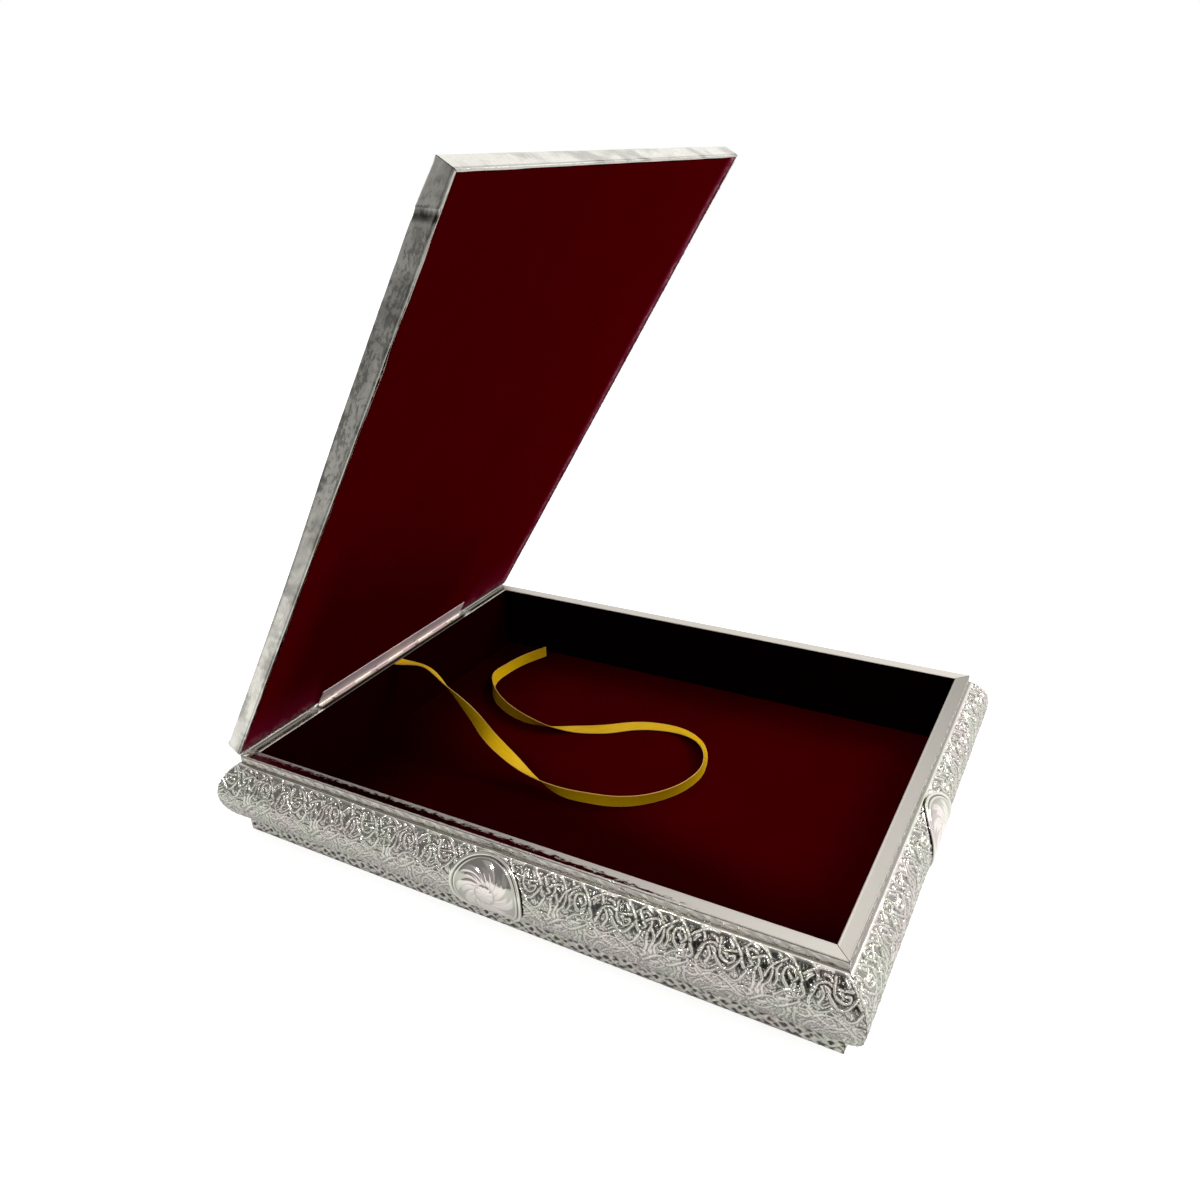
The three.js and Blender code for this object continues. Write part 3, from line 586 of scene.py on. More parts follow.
def satin_ribbon():
    """Polyester satin: a golden warp that shines across its threads, with paler selvedges."""
    material, tree = new_material("polyester_satin")
    # warp threads 0.25 mm apart, drawn coarser than the real ones so that they show
    thread = noise(tree, strip_place(tree), (120.0, 4000.0, 1.0), 2.0)
    warp = blend(tree, thread, "#c48c00", "#fad008")
    coat(tree, {"Base Color": blend(tree, painted(tree, "painted_shade_patina_selvedge"), warp, "#dcae70"), "Roughness": 0.5,
                "Specular IOR Level": 0.15, "Normal": bump(tree, thread, 0.4, 0.1)})
    return material


def plain_wood():
    """Sawn poplar under the sheet: straight grain along the box, rings about 4 mm apart."""
    material, tree = new_material("sawn_poplar")
    grain = noise(tree, place_on(tree), (12.0, 250.0, 250.0), 5.0)
    coat(tree, {"Base Color": blend(tree, grain, "#b98f5f", "#8a6238"), "Roughness": 0.7,
                "Normal": bump(tree, grain, 0.3, 0.2)})
    return material


def felted_paper():
    """Flocked paper under the base: dark, matt and fibrous, with fibres about 0.7 mm apart."""
    material, tree = new_material("flocked_paper")
    fibres = noise(tree, place_on(tree), 1500.0, 4.0)
    coat(tree, {"Base Color": blend(tree, fibres, "#231f1d", "#3a3431"), "Roughness": 0.95,
                "Specular IOR Level": 0.1, "Normal": bump(tree, fibres, 0.4, 0.2)})
    return material


def drawn_steel(name, light, dark, smooth, brown_span=None):
    """Nickel-plated steel, drawn or stamped: faint scratches over a dull shine. The last argument,
    if given, names the places across the box, in metres, between which it turns brown towards
    the inside of the box."""
    material, tree = new_material(name)
    place = place_on(tree)
    # scratches 17 mm long and about 1 mm apart
    scratch = noise(tree, place, (900.0, 60.0, 900.0), 4.0)
    colour = blend(tree, scratch, dark, light)
    if brown_span:
        across = add(tree, "ShaderNodeSeparateXYZ", {"Vector": place}).outputs["X"]
        colour = blend(tree, span(tree, across, *brown_span), colour, "#4a382c")
    coat(tree, {"Base Color": colour, "Metallic": 1.0,
                "Roughness": span(tree, scratch, 0.0, 1.0, smooth, smooth + 0.25),
                "Normal": bump(tree, scratch, 0.2, 0.05)})
    return material


EMBOSSED = embossed_silver("embossed_silver_plate", 0.11, 0.22)
RUBBED = embossed_silver("rubbed_silver_plate", 0.05, 0.12)
RIM_SILVER = polished_silver("rubbed_silver_rim", 0.07, 0.62, "#d2d5c7", "#e2d6d3")
LID_SILVER = polished_silver("rubbed_silver_lid_edge", 0.14, 0.45, "#e2e6d8", "#ece4df")
# painted shade on the floor's velvet: darker along the near (-Y) wall and towards the rear end
FLOOR_VELVET = cotton_velvet("cotton_velvet_floor", "#360001", "#420002", 0.3, [
    (0.62, [((0.2, 1.0, 0.0), -0.005, -0.045)]), (0.78, [((1.0, 0.0, 0.0), -0.068, -0.132)])])
# the walls' velvet is painted much darker than the floor's as painted shade, and darkest on the far (+Y) wall
WALL_VELVET_SHADED = cotton_velvet("cotton_velvet_walls_shaded", "#140001", "#1a0001", 0.05, [
    (0.75, [((0.0, 1.0, 0.0), 0.097, 0.1)])])
# painted shade on the lid's velvet: darker low down near the hinge, from near the -Y edge to a little past
# the middle
LID_VELVET = cotton_velvet("cotton_velvet_lid", "#380001", "#440003", 0.3, [
    (0.68, [((0.0, 0.35, 1.0), 0.135, 0.072), ((0.0, 1.0, 0.0), 0.056, 0.024),
            ((0.0, 1.0, 0.0), -0.1, -0.08)])])
PILE = frayed_pile()
SATIN = satin_ribbon()
WOOD = plain_wood()
PAPER = felted_paper()
BOX_LEAF_METAL = drawn_steel("plated_hinge_strip", "#f6f1e8", "#dcd5c9", 0.4, (-0.1358, -0.1354))
LID_LEAF_METAL = drawn_steel("dull_hinge_strip", "#fbecec", "#d6c4c8", 0.62)
NAIL_STEEL = drawn_steel("nail_steel", "#a8a8a4", "#85857f", 0.3)

# Marker ribbon: its route in shares of the tray's inside, lengthways, across and up, and its
# roll in degrees
RIBBON_ROUTE = [
    (-0.864, -0.007, 0.905, -32), (-0.725, -0.077, 0.755, -60), (-0.598, -0.129, 0.555, -102),
    (-0.479, -0.194, 0.402, -145), (-0.367, -0.230, 0.272, -177), (-0.259, -0.254, 0.075, -220),
    (-0.145, -0.275, 0, -254), (-0.028, -0.262, 0, -263), (0.075, -0.222, 0, -261),
    (0.161, -0.140, 0, -257), (0.230, -0.008, 0, -258), (0.256, 0.145, 0, -266),
    (0.231, 0.284, 0, -286), (0.165, 0.413, 0, -326), (0.074, 0.483, 0, -351),
    (-0.025, 0.482, 0, -362), (-0.116, 0.430, 0, -368), (-0.212, 0.333, 0, -371),
    (-0.323, 0.272, 0, -358), (-0.414, 0.217, 0, -325), (-0.529, 0.213, 0, -285),
    (-0.655, 0.272, 0, -262), (-0.763, 0.375, 0, -258), (-0.830, 0.514, 0, -285),
    (-0.829, 0.647, 0, -274), (-0.806, 0.786, 0, -270), (-0.761, 0.928, 0, -269),
]
RIBBON_POINTS, RIBBON_COLUMNS = 420, 15


def ribbon_course():
    """The ribbon's middle line, in mm, and its roll, at even steps along the curve through the
    route: it lies on the floor by its own half width on edge, or half thickness when flat."""
    points = [(*RIBBON_EXIT, 0.0)]
    for along, across, lift, degrees in RIBBON_ROUTE:
        roll = math.radians(degrees)
        stand = (abs(math.sin(roll)) * RIBBON_WIDTH + abs(math.cos(roll)) * RIBBON_THICKNESS) / 2
        points.append((along * INNER_HALF_LENGTH, across * INNER_HALF_WIDTH,
                       FLOOR_TOP + lift * INNER_DEPTH + RIBBON_LIFT + stand, roll))
    line = smooth_line(points, 1.0)
    line = line[np.r_[True, np.linalg.norm(np.diff(line[:, :3], axis=0), axis=1) > 1e-6]]
    run = run_of(line[:, :3])
    even = np.linspace(0, run[-1], RIBBON_POINTS)
    return np.stack([np.interp(even, run, line[:, k]) for k in range(4)], 1), run[-1]


def make_ribbon():
    """A flat section carried along the course and rolled about it, slightly cupped: the
    section's point (v, h) lies at p + v * wide + h * thick, with wide turned by the roll."""
    course, length = ribbon_course()
    middle, roll = course[:, :3], course[:, 3]
    ahead = np.gradient(middle, axis=0)
    ahead /= np.linalg.norm(ahead, axis=1)[:, None]
    level = np.cross((0, 0, 1), ahead)
    level /= np.linalg.norm(level, axis=1)[:, None]
    wide = level * np.cos(roll)[:, None] + np.cross(ahead, level) * np.sin(roll)[:, None]
    thick = np.cross(ahead, wide)
    v = np.linspace(-1, 1, RIBBON_COLUMNS)
    v = np.r_[v, v[::-1]]
    h = np.repeat([-RIBBON_THICKNESS / 2, RIBBON_THICKNESS / 2], RIBBON_COLUMNS) + 0.12 * v ** 2 - 0.04
    across = v * RIBBON_WIDTH / 2
    grid = middle[None] + across[:, None, None] * wide[None] + h[:, None, None] * thick[None]
    run = np.linspace(0, length, RIBBON_POINTS)
    uv = np.stack(np.broadcast_arrays(run[None], across[:, None]), -1)
    selvedge = np.broadcast_to(0.6 * ramp(np.abs(v), 0.86, 0.98)[:, None], grid.shape[:2])
    piece = make_piece("marker_ribbon", "box", SATIN, grid[:, ::-1], "ribbon", uv=uv[:, ::-1],
                       shade=selvedge, sharp=40.0)
    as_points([tuple(p * MM) for p in middle[::6]] + [tuple(middle[-1] * MM)])


make_ribbon()


# Tray
def make_moulding(side):
    """The bulging wall's sheet: an arc of radius R + relief(a, s) about the wall's axis, small
    lips at its ends, and a plain inner face, carried along the side to the corner mitres."""
    arc = ARC_HALF_ANGLE * np.r_[np.linspace(-1, 0.2, 48)[:-1], np.linspace(0.2, 1, 54)]
    back = ARC_HALF_ANGLE * np.linspace(0.97, -0.97, 9)
    lip = [(0.5, MOULDING_TOP + 0.08), (0.05, MOULDING_TOP + 0.21), (-0.55, MOULDING_TOP + 0.21),
           (-0.55, MOULDING_TOP - SHEET)]
    foot = [(0.42, MOULDING_BOTTOM + SHEET), (0.42, MOULDING_BOTTOM)]
    profile = np.vstack([np.stack(bulge(arc, ARC_RADIUS), -1), lip,
                         np.stack(bulge(back, ARC_RADIUS - 0.78), -1), foot])

    def worked(a, b, z, way):
        b, z, shade = b.copy(), z.copy(), np.zeros(a.shape)
        seen = slice(0, arc.size)
        # painted shade: how dark the open ground is painted on each side, on the left side rising towards the
        # front end
        pocket_shade = {"left": np.clip(0.6 + 0.4 * (a[seen] + 30) / 110, 0.6, 1), "front": 0.62}.get(side, 0.7)
        turn = np.broadcast_to(arc[:, None], a[seen].shape)
        lift, dark = moulding_relief(a[seen], turn * ARC_RADIUS, pocket_shade)
        b[seen] += lift * np.cos(turn)
        z[seen] += lift * np.sin(turn)
        shade[seen] = dark * 0.95
        # painted shade dulls the lips' bright edge
        shade[arc.size:arc.size + len(lip)] = 0.55
        return b, z, shade

    a, b, z, _, shade = carry(side, profile, 0.33, worked)
    make_piece(side + "_embossed_moulding", "box", EMBOSSED, on_side(side, a, b, z),
               side + "_moulding", shade=shade, sharp=60.0)


def rear_rim(a, b, z, way, top, shade):
    """The rear rim's foil: crumpled at the hinge's ends and by the corners, standing up towards
    the lid's foot beside the hinge. Its top is painted dark brown, less where crumpled, as
    painted shadow and painted reflection of the dark lid over it, and its inner edge within the
    hinge leaf's span as painted shade."""
    ends = np.maximum(hump(np.abs(a), 61.5, 3.2), 0.8 * hump(np.abs(a), 104, 3.0))
    crumple = ends * np.clip(0.55 + 0.5 * ripple(a, b, 2.6, 31) + 0.3 * ripple(a, b, 1.3, 32), 0.05, 1)
    z = z + top * 0.75 * crumple * ramp(b, -0.6, -2.2) * ramp(b, -6.2, -5.2)
    z = z + 0.28 * ramp(z, 39.95, 40.25) * ramp(b, -1.5, -1.0) * ramp(np.abs(a), 59, 60.5)
    depth = ramp(way, 4.3, 10.0)
    # painted shadow: the top darkened where it mirrors the dark lid, less where crumpled
    painted_lid_shadow = 0.75 * ramp(depth, 0.06, 0.11) * ramp(depth, 0.86, 0.81) * np.clip(1 - 2 * crumple, 0, 1)
    # painted shade on the inner edge within the hinge leaf's span
    painted_leaf_shade = 0.8 * ramp(depth, 0.8, 0.85) * ramp(np.abs(a), 59, 57.5)
    return z, shade + painted_lid_shadow + painted_leaf_shade


def rim_wear(side, a, way):
    """How worn the rim's plating is, 0 to 1: whole on the left rim's outer part with a ragged
    border, worn on the rear rim's inner edge and crumpled ends, and worn all over elsewhere."""
    depth = ramp(way, 4.3, 10.0)
    worn = 0.9
    if side == "rear":
        worn = ramp(depth, 0.86, 0.91) + np.maximum(hump(np.abs(a), 61.5, 4.5), hump(np.abs(a), 104, 4))
    if side == "left":
        whole = np.interp(a, [-140, -60, 0, 50, 80, 100], [0.7, 0.7, 0.6, 0.38, 0.18, -0.2])
        worn = np.clip((depth - whole) / 0.5 + 0.5, 0, 1) + hump(depth, 0.02, 0.03)
    return np.where(way < 4.0, 0.5, np.clip(worn, 0, 1))


def make_rim(side):
    """The rim's strip over the wall's top: a band stamped with soft lozenges, a milled bead
    along its upper edge, a flat top with a thin lip and a rolled inner edge, all a little
    uneven from hand fitting. At the hinge's ends the rear strip is crumpled."""
    seed = list(SIDES).index(side) + 20
    under = RIM_TOP - SHEET
    corners = [(0, RIM_FOOT), (0, RIM_TOP), (-RIM_FLAT, RIM_TOP - 0.08), (-RIM_FLAT, under),
               (-SHEET, under), (-SHEET, RIM_FOOT)]
    profile = refined(rounded(corners, [0.2, 0.45, 0.3, 0.1, 0.1, 0.1]), 0.22, 19)

    def uneven(a, b, z, way):
        top, face = ramp(z, 40.1, 40.35), ramp(b, -0.3, -0.05)
        end = np.clip((SIDES[side][2] - np.abs(a)) / 4, 0.2, 1)
        mill = 0.55 + 0.45 * np.sin(2 * np.pi * (a + 0.8 * way) / 1.45)
        lozenge = np.sin(2 * np.pi * a / 6.3 + 1.1 * (z - 38.4)) * hump(z, 38.3, 1.2)
        groove, bead = hump(way, 3.35, 0.22), hump(way, 3.8, 0.2)
        b = b + face * (-0.1 + 0.05 * lozenge - 0.1 * groove + 0.08 * bead
                        - end * (0.02 + 0.02 * ripple(a, z * 2, 24, seed + 2)))
        wavy = 0.02 + 0.03 * ripple(a, b * 3, 38, seed) + 0.01 * ripple(a, b, 6, seed + 1)
        z = z - top * (0.16 + end * wavy - 0.14 * mill * hump(b, -0.3, 0.17) - 0.1 * hump(b, -5.6, 0.24))
        # painted shade: the groove under the milled bead dark, the band darker where its lozenges sink, and
        # more on the front side
        shade = face * (0.8 * groove + (0.4 if side == "front" else 0.22) * (0.6 - 0.4 * lozenge))
        if side == "rear":
            z, shade = rear_rim(a, b, z, way, top, shade)
        if side == "front":
            # painted shade on the front rim: its top darker towards the +Y end, its band towards the -Y end
            shade = shade + top * (0.08 + 0.38 * ramp(a, -90, 90)) + 0.3 * face * ramp(a, -70, -100)
        return b, z, np.clip(shade, 0, 1)

    a, b, z, way, shade = carry(side, profile, 0.4, uneven)
    make_piece(side + "_rim", "box", RIM_SILVER, on_side(side, a, b, z), side + "_rim_strip",
               uv=np.stack([a, way], -1), shade=shade, worn=rim_wear(side, a, way))


def make_plinth(side):
    """The low plinth's sheet stamped with two crossing zigzags of ridges, dots punched between
    them and small raised crescents beside the dots."""
    low, high, period = 0.05, PLINTH_TOP - 0.05, 11.0
    corners = [(STEP_OUT - SHEET, low), (STEP_OUT, low), (STEP_OUT, high), (STEP_OUT - SHEET, high)]
    profile = refined(rounded(corners, 0.12, 2), 0.3, 11)

    def stamped(a, b, z, way):
        face = ramp(b, 0.8, 0.9)
        place = (a - 92 + period / 2) % period
        path = 1.6 + 3.4 * np.abs(place / (period / 2) - 1)
        line = hump(z, path, 0.42) + hump(z, 6.6 - path, 0.42)
        dot, moon = 0.0, 0.0
        for start, level, depth in ((0.0, 3.1, 1.0), (4.2, 3.6, 0.6)):
            u, v = (a - 92 - start + period / 2) % period - period / 2, z - level
            dot = dot + depth * hump(u, 0, 0.7) * hump(v, 0, 0.5)
            moon = moon + hump(np.hypot(u, v), 1.35, 0.34) * np.clip(np.cos(2 * np.arctan2(v, u) + 1.2), 0, 1)
        fine = ripple(a, z, 2.4, 11)
        lift = 0.2 * np.clip(line, 0, 1) - 0.42 * np.clip(dot, 0, 1) + 0.34 * moon - 0.12 + 0.12 * fine
        pit = np.clip(0.45 - 0.9 * fine - line, 0, 1)
        # painted shade and patina: dark in the dots and pits, a little painted shade all over, less on the
        # crescents
        shade_and_patina = np.clip(dot * 1.4 + 0.95 * pit + 0.22 - 0.4 * moon, 0, 1)
        return b + face * lift, z, 0.9 * face * shade_and_patina

    a, b, z, _, shade = carry(side, profile, 0.35, stamped)
    make_piece(side + "_plinth", "box", EMBOSSED, on_side(side, a, b, z), side + "_plinth_strip",
               shade=shade, sharp=60.0)


def make_wall_lining(side):
    """Velvet on card against one wall, its top edge softened by the pile."""
    corners = [(LINING_BACK, WALL_BOTTOM), (LINING_BACK, WALL_TOP), (LINING_FACE, WALL_TOP),
               (LINING_FACE, WALL_BOTTOM), (LINING_FACE + 0.05, WALL_BOTTOM)]
    profile = refined(rounded(corners, [0.1, 0.3, 0.35, 0.1, 0.02]), 2.5)

    def soft(a, b, z, way):
        face = ramp(b, LINING_BACK - 0.4, LINING_BACK - 0.7)
        return b + face * 0.06 * (ripple(a, z, 30, 41) + 0.4 * ripple(a, z, 7, 42)), z, None

    a, b, z, _, _ = carry(side, profile, 2.0, soft)
    make_piece(side + "_velvet_lining", "box", WALL_VELVET_SHADED, on_side(side, a, b, z),
               side + "_wall_lining")


BACK_ROWS = 6


def disc_grid(radius, height, columns, steps):
    """A closed disc in polar form: along the back from its middle, up the edge and over the
    face to the middle again, where the height is height(r, turn)."""
    turn = np.linspace(0, 2 * np.pi, columns, endpoint=False)[None]
    face = np.linspace(radius, 0, steps + 1)[:-1][:, None]
    back = np.linspace(0, radius, BACK_ROWS + 1)[1:][:, None]
    lift = np.vstack([np.zeros((BACK_ROWS, columns)), height(face + 0 * turn, turn + 0 * face)])
    r, turn = np.broadcast_arrays(np.vstack([back, face]), turn)
    return r * np.cos(turn), r * np.sin(turn), lift


def petals(r, turn, count, inner, outer, twist):
    """Petal relief, 0 to 1: cos of the count-fold angle, swept by the twist, times a swelling
    between the inner and outer radius, with a vein along each petal."""
    t = ramp(r, inner, outer)
    wave = np.cos(count * (turn - twist * t))
    blade = np.clip(wave - 0.15, 0, 1) ** 0.5 * np.sin(np.pi * t ** 0.8) ** 0.6
    return blade * (1 - 0.35 * hump(wave, 1, 0.03))


def medallion_height(radius, ring, boss, leaves):
    """Height of a medallion's face: a standing ring, a thin second ring inside it, a smooth
    field and a swirling rosette of leaves round a domed boss."""
    def height(r, turn):
        field = 0.2 + 0.12 * (1 - (r / radius) ** 2)
        wire = np.sqrt(np.clip(1 - ((r - (radius - 0.7)) / 0.7) ** 2, 0, 1)) * (ring - 0.05)
        groove = -0.2 * hump(r, radius - 1.75, 0.25) + 0.3 * hump(r, radius - 2.4, 0.3)
        sweep = 0.42 * petals(r, turn, leaves, boss * 1.15, radius - 3.4, 0.9)
        small = 0.26 * petals(r, turn + math.pi / leaves, leaves, boss * 1.1, radius - 6.0, 0.5)
        dome = 0.42 * np.sqrt(np.clip(1 - (r / boss) ** 2, 0, 1))
        notch = 0.14 * np.clip(np.cos(leaves * turn), 0, 1) * np.clip(r / boss, 0, 1) * (r < boss)
        body = field + groove + np.maximum(sweep, small) + dome - notch
        return np.where(r > radius - 1.4, np.maximum(wire + 0.05, field * (r < radius - 1.0)), body)
    return height


def make_rosette(name, body, stands_for, place, radius, ring, boss, leaves, columns, steps, groove_shade):
    """A round medallion made flat and set on its seat by place(x, y, lift), with painted shade
    in its lower places and, by the share given last, in the groove inside its ring."""
    x, y, lift = disc_grid(radius, medallion_height(radius, ring, boss, leaves), columns, steps)
    # painted shade in the low places and in the groove inside the ring
    shade = np.maximum(0.7 * ramp(lift, 0.42, 0.1), groove_shade * hump(np.hypot(x, y), radius - 1.75, 0.3))
    shade[:BACK_ROWS] = 0
    crown = 0.74
    poles = np.array([place(0.0, 0.0, 0.0), place(0.0, 0.0, crown)])
    make_piece(name, body, RUBBED, place(x, y, lift), stands_for, poles=poles, shade=shade, sharp=70.0)


def make_medallion(side):
    """The round medallion bent over the bulge: the disc's height is added to its seat's radius
    and its upward coordinate, over that radius, is the angle."""
    def place(x, y, lift):
        return on_side(side, x, *bulge(y / MEDALLION_SEAT, MEDALLION_SEAT + lift))

    make_rosette(side + "_round_medallion", "box", side + "_medallion", place, MEDALLION_RADIUS,
                 0.72, 4.2, 8, 176, 80, 0.85)


def plate_grid(half_x, half_y, bottom, top, step, edge, relief):
    """A flat plate round the origin as a loop across Y carried along X: even places on its
    upper face, a plain lower face, and edges rounded by the given radius. relief(x, y) gives
    what is added on top, and a number for each vertex of the upper face."""
    notches = edge * np.array([0.1, 0.3, 0.6, 1])

    def places(half):
        even = np.linspace(-half, half, max(2, int(2 * half / step)))
        return np.unique(np.r_[even, notches - half, half - notches])

    x, y = places(half_x), places(half_y)
    across = np.r_[y[::-1], -half_y, 2 - half_y, 0, half_y - 2, half_y]
    xs, ys = (grid[:, ::-1] for grid in np.broadcast_arrays(x[None], across[:, None]))
    inset = np.clip(edge - np.minimum(half_x - np.abs(xs), half_y - np.abs(ys)), 0, edge)
    lift, number = relief(xs, ys)
    upper = np.arange(across.size)[:, None] < y.size
    zs = np.where(upper, top - edge + np.sqrt(edge ** 2 - inset ** 2) + lift, bottom)
    return np.stack([xs, ys, zs], -1), np.where(upper, number, 0)


def make_floor_lining():
    """The velvet floor: a thin plate, very slightly uneven."""
    grid, _ = plate_grid(134, 100.5, WALL_BOTTOM, FLOOR_TOP, 3.0, 0.5,
                         lambda x, y: (0.04 * ripple(x, y, 45, 51) - 0.04, 0))
    make_piece("floor_velvet", "box", FLOOR_VELVET, grid, "floor_lining")


def make_base_cover():
    """Flocked paper glued under the base board, its edge rounded and its face a bit uneven."""
    thickness = 0.5
    grid, _ = plate_grid(140.15, 106.65, -thickness, 0.0, 4.0, 0.2,
                         lambda x, y: (0.02 * ripple(x, y, 20, 61) - 0.02, 0))
    make_piece("base_flocked_paper", "box", PAPER, grid * (1, -1, -1), "base_cover")


def make_ribbon_tail():
    """The hidden end of the ribbon: down the pocket behind the velvet, then out flat."""
    back, front, inside, foot = -4.25, -4.25 - RIBBON_THICKNESS, -6.0, WALL_TOP - 13
    under = WALL_TOP - RIBBON_THICKNESS
    corners = [(front, foot), (back, foot), (back, WALL_TOP), (inside, WALL_TOP), (inside, under),
               (front, under)]
    profile = refined(rounded(corners, 0.12, 3), 1.0)
    across = np.linspace(-RIBBON_WIDTH / 2, RIBBON_WIDTH / 2, 12)[None]
    middle = RIBBON_EXIT[1]
    x, z = -(RIM_LENGTH / 2 + profile[:, :1]), profile[:, 1:]
    grid = np.stack(np.broadcast_arrays(x, middle - across, z), -1)
    uv = np.stack(np.broadcast_arrays(run_of(profile)[:, None], middle + across), -1)
    make_piece("ribbon_hidden_end", "box", SATIN, grid, "ribbon_tail", uv=uv, sharp=60.0)


for name in SIDES:
    make_moulding(name)
    make_rim(name)
    make_plinth(name)
    make_wall_lining(name)
    make_medallion(name)
make_floor_lining()
make_base_cover()
make_ribbon_tail()

# Lid: how far the foil of the near long edge stands out over the lid's face, along the edge
EDGE_SWELL = np.array([(4, -0.7), (40, -0.9), (66, -0.9), (97, -0.9), (124, -0.6), (149, -0.1),
                       (172, 0.5), (193, 1.35), (214, 1.2), (232, 1.7), (246, 2.0), (257, 1.7),
                       (267, 0.6), (280, -0.3)])


def rounded_back(points, radius=2.8):
    """The lid's rear outer edge rounded: a point outside the circle of that radius, inscribed in
    the corner of the rear and outer faces, is drawn in to it."""
    u, w = points[..., 0], points[..., 2]
    du, dw = np.minimum(u - radius, 0), np.maximum(w - (LID_OUTER - radius), 0)
    share = radius / np.maximum(np.hypot(du, dw), radius)
    return np.stack([u - du * (1 - share), points[..., 1], w - dw * (1 - share)], -1)


def rear_edge(a, b, z, face, under):
    """The rear edge's foil, bulging out at the foot's corners, and its lip, which hangs a
    little towards the rim beside the hinge."""
    corner, i = LID_SIDES["rear"][2] - np.abs(a), LID_INNER
    rise = np.sin(np.pi * ramp(z, i + 1.6, LID_OUTER)) ** 2
    b = b + 1.8 * rise * hump(np.abs(a), 104, 9) * ramp(corner, 0, 2.5) * face
    beside = ramp(np.abs(a), 59, 60.5) * ramp(corner, 0, 3)
    return b + 0.12 * face * hump(z, i + 0.15, 0.35) * beside, z - 0.32 * under * beside


def make_lid_edge(side):
    """The channel of sheet round the lid's edge, dented, swollen and wavy from being folded by
    hand, with a fold of the end strip lapped over near the top corner."""
    seed = list(SIDES).index(side) + 70
    i, o = LID_INNER, LID_OUTER
    corners = [(-LID_LIP, i), (0, i), (0, o), (-LID_FLANGE, o), (-LID_FLANGE, o - SHEET),
               (-SHEET, o - SHEET), (-SHEET, i + SHEET), (-LID_LIP, i + SHEET)]
    profile = refined(rounded(corners, [0.15, 0.35, 1.3, 0.2, 0.1, 0.1, 0.1, 0.1]), 0.35, 24)

    def dented(a, b, z, way):
        face, high, under = ramp(b, -0.5, -0.2), ramp(z, i + 2, o), ramp(z, i + 0.3, i + 0.1)
        end = ramp(LID_SIDES[side][2] - np.abs(a), 0, 3)
        swell = (ripple(a, z * 2, 34, seed) + 0.5 * ripple(a, z * 1.5, 11, seed + 1)
                 + 0.25 * ripple(a, z, 4, seed + 2))
        out = 0.25 * ripple(a, 0 * a, 60, seed + 3)
        if side == "left":
            out = np.interp(a + LID_MIDDLE, EDGE_SWELL[:, 0], EDGE_SWELL[:, 1])
        z = z + ramp(b, -4.2, -1.0) * ramp(z, i + 3, i + 7) * out * end
        fold = 0.0
        if side == "rear":
            b, z = rear_edge(a, b, z, face, under)
        if side in ("left", "right"):
            # a lapped end: a step 0.3 mm high about 13 mm below the top corner
            along = (a if side == "left" else -a) + 0.5 * (z - i)
            fold = 0.3 * ramp(along, 128, 128.6) - 0.3 * hump(along, 125.5, 1.6)
        b = b - face * end * (0.14 + 0.13 * swell * (0.4 + 0.6 * high)) + face * fold * end
        z = z + under * end * 0.05 * (1 + ripple(a, b, 14, seed + 4)) * ramp(b, 0, -0.5)
        # the folded lip's cut edge wanders over the velvet
        lip = ramp(b, -0.4, -0.9) * ramp(z, i + 1.2, i + 0.7) * (b > -2) * end
        wander = 0.4 + 0.9 * ripple(a, 0 * a, 26, seed + 7) + 0.15 * ripple(a, 0 * a, 6, seed + 8)
        wide = {"left": 0.6, "front": 0.12}.get(side, 0.3)
        b, z = b - wide * lip * np.clip(wander, 0, 1.8), z - 0.12 * lip * under
        # painted shade: a dark band on the face near the velvet side, in the dents and before the lapped
        # fold, and on the lip, most on the rear edge
        painted_dent_shade = np.clip(-0.35 * swell, 0, 0.35) + np.clip(-3 * fold, 0, 0.7)
        shade = face * (0.5 * hump(z, i + 0.9, 0.35) + painted_dent_shade) + (0.75 if side == "rear" else 0.35) * under
        return b, z, np.clip(shade, 0, 1)

    a, b, z, way, shade = carry(side, profile, 0.6, dented, LID_SIDES)
    worn = np.clip(0.5 + 0.35 * ripple(a, z * 3, 25, seed + 6), 0, 1)
    flat = rounded_back(on_side(side, a, b, z, LID_SIDES) + np.array([LID_MIDDLE, 0, 0]))
    make_piece("lid_" + side + "_edge", "lid", LID_SILVER, on_lid(flat), "lid_" + side + "_edge_strip",
               uv=np.stack([a, way], -1), shade=shade, worn=worn)


LID_TILE_SCALE, LID_ROW = 1.874, 65.6


def lid_relief(x, y):
    """The lid's top, with x and y from its middle: the scroll relief over the whole field
    inside a plain border of two lines, level under the rosette. The field holds three rows of
    the walls' relief, drawn larger."""
    border = np.minimum(LID_LENGTH / 2 - np.abs(x), LID_WIDTH / 2 - np.abs(y)) - 4.5
    along = (x + LID_MIDDLE) / LID_TILE_SCALE
    rows = ((y + LID_ROW / 2) % LID_ROW - LID_ROW / 2) / LID_TILE_SCALE
    ridge, outline = tile_at(along, rows)
    inside = ramp(border, 5, 5.8)
    line = hump(border, 2.0, 0.45) + hump(border, 4.2, 0.45)
    under = ramp(np.hypot(x, y), 23.5, 24.5)
    # painted shade and painted reflection darken the open ground, and patina with painted shade the outlines
    fine, dark = scroll_ground(along, rows, ridge, outline, 0.45)
    lift = (ridge * 0.45 - 0.3 + fine) * inside + 0.3 * line * (1 - inside) - 0.08
    return np.minimum(lift, 0.2) * under - 0.2 * (1 - under), dark * 0.85 * inside * under


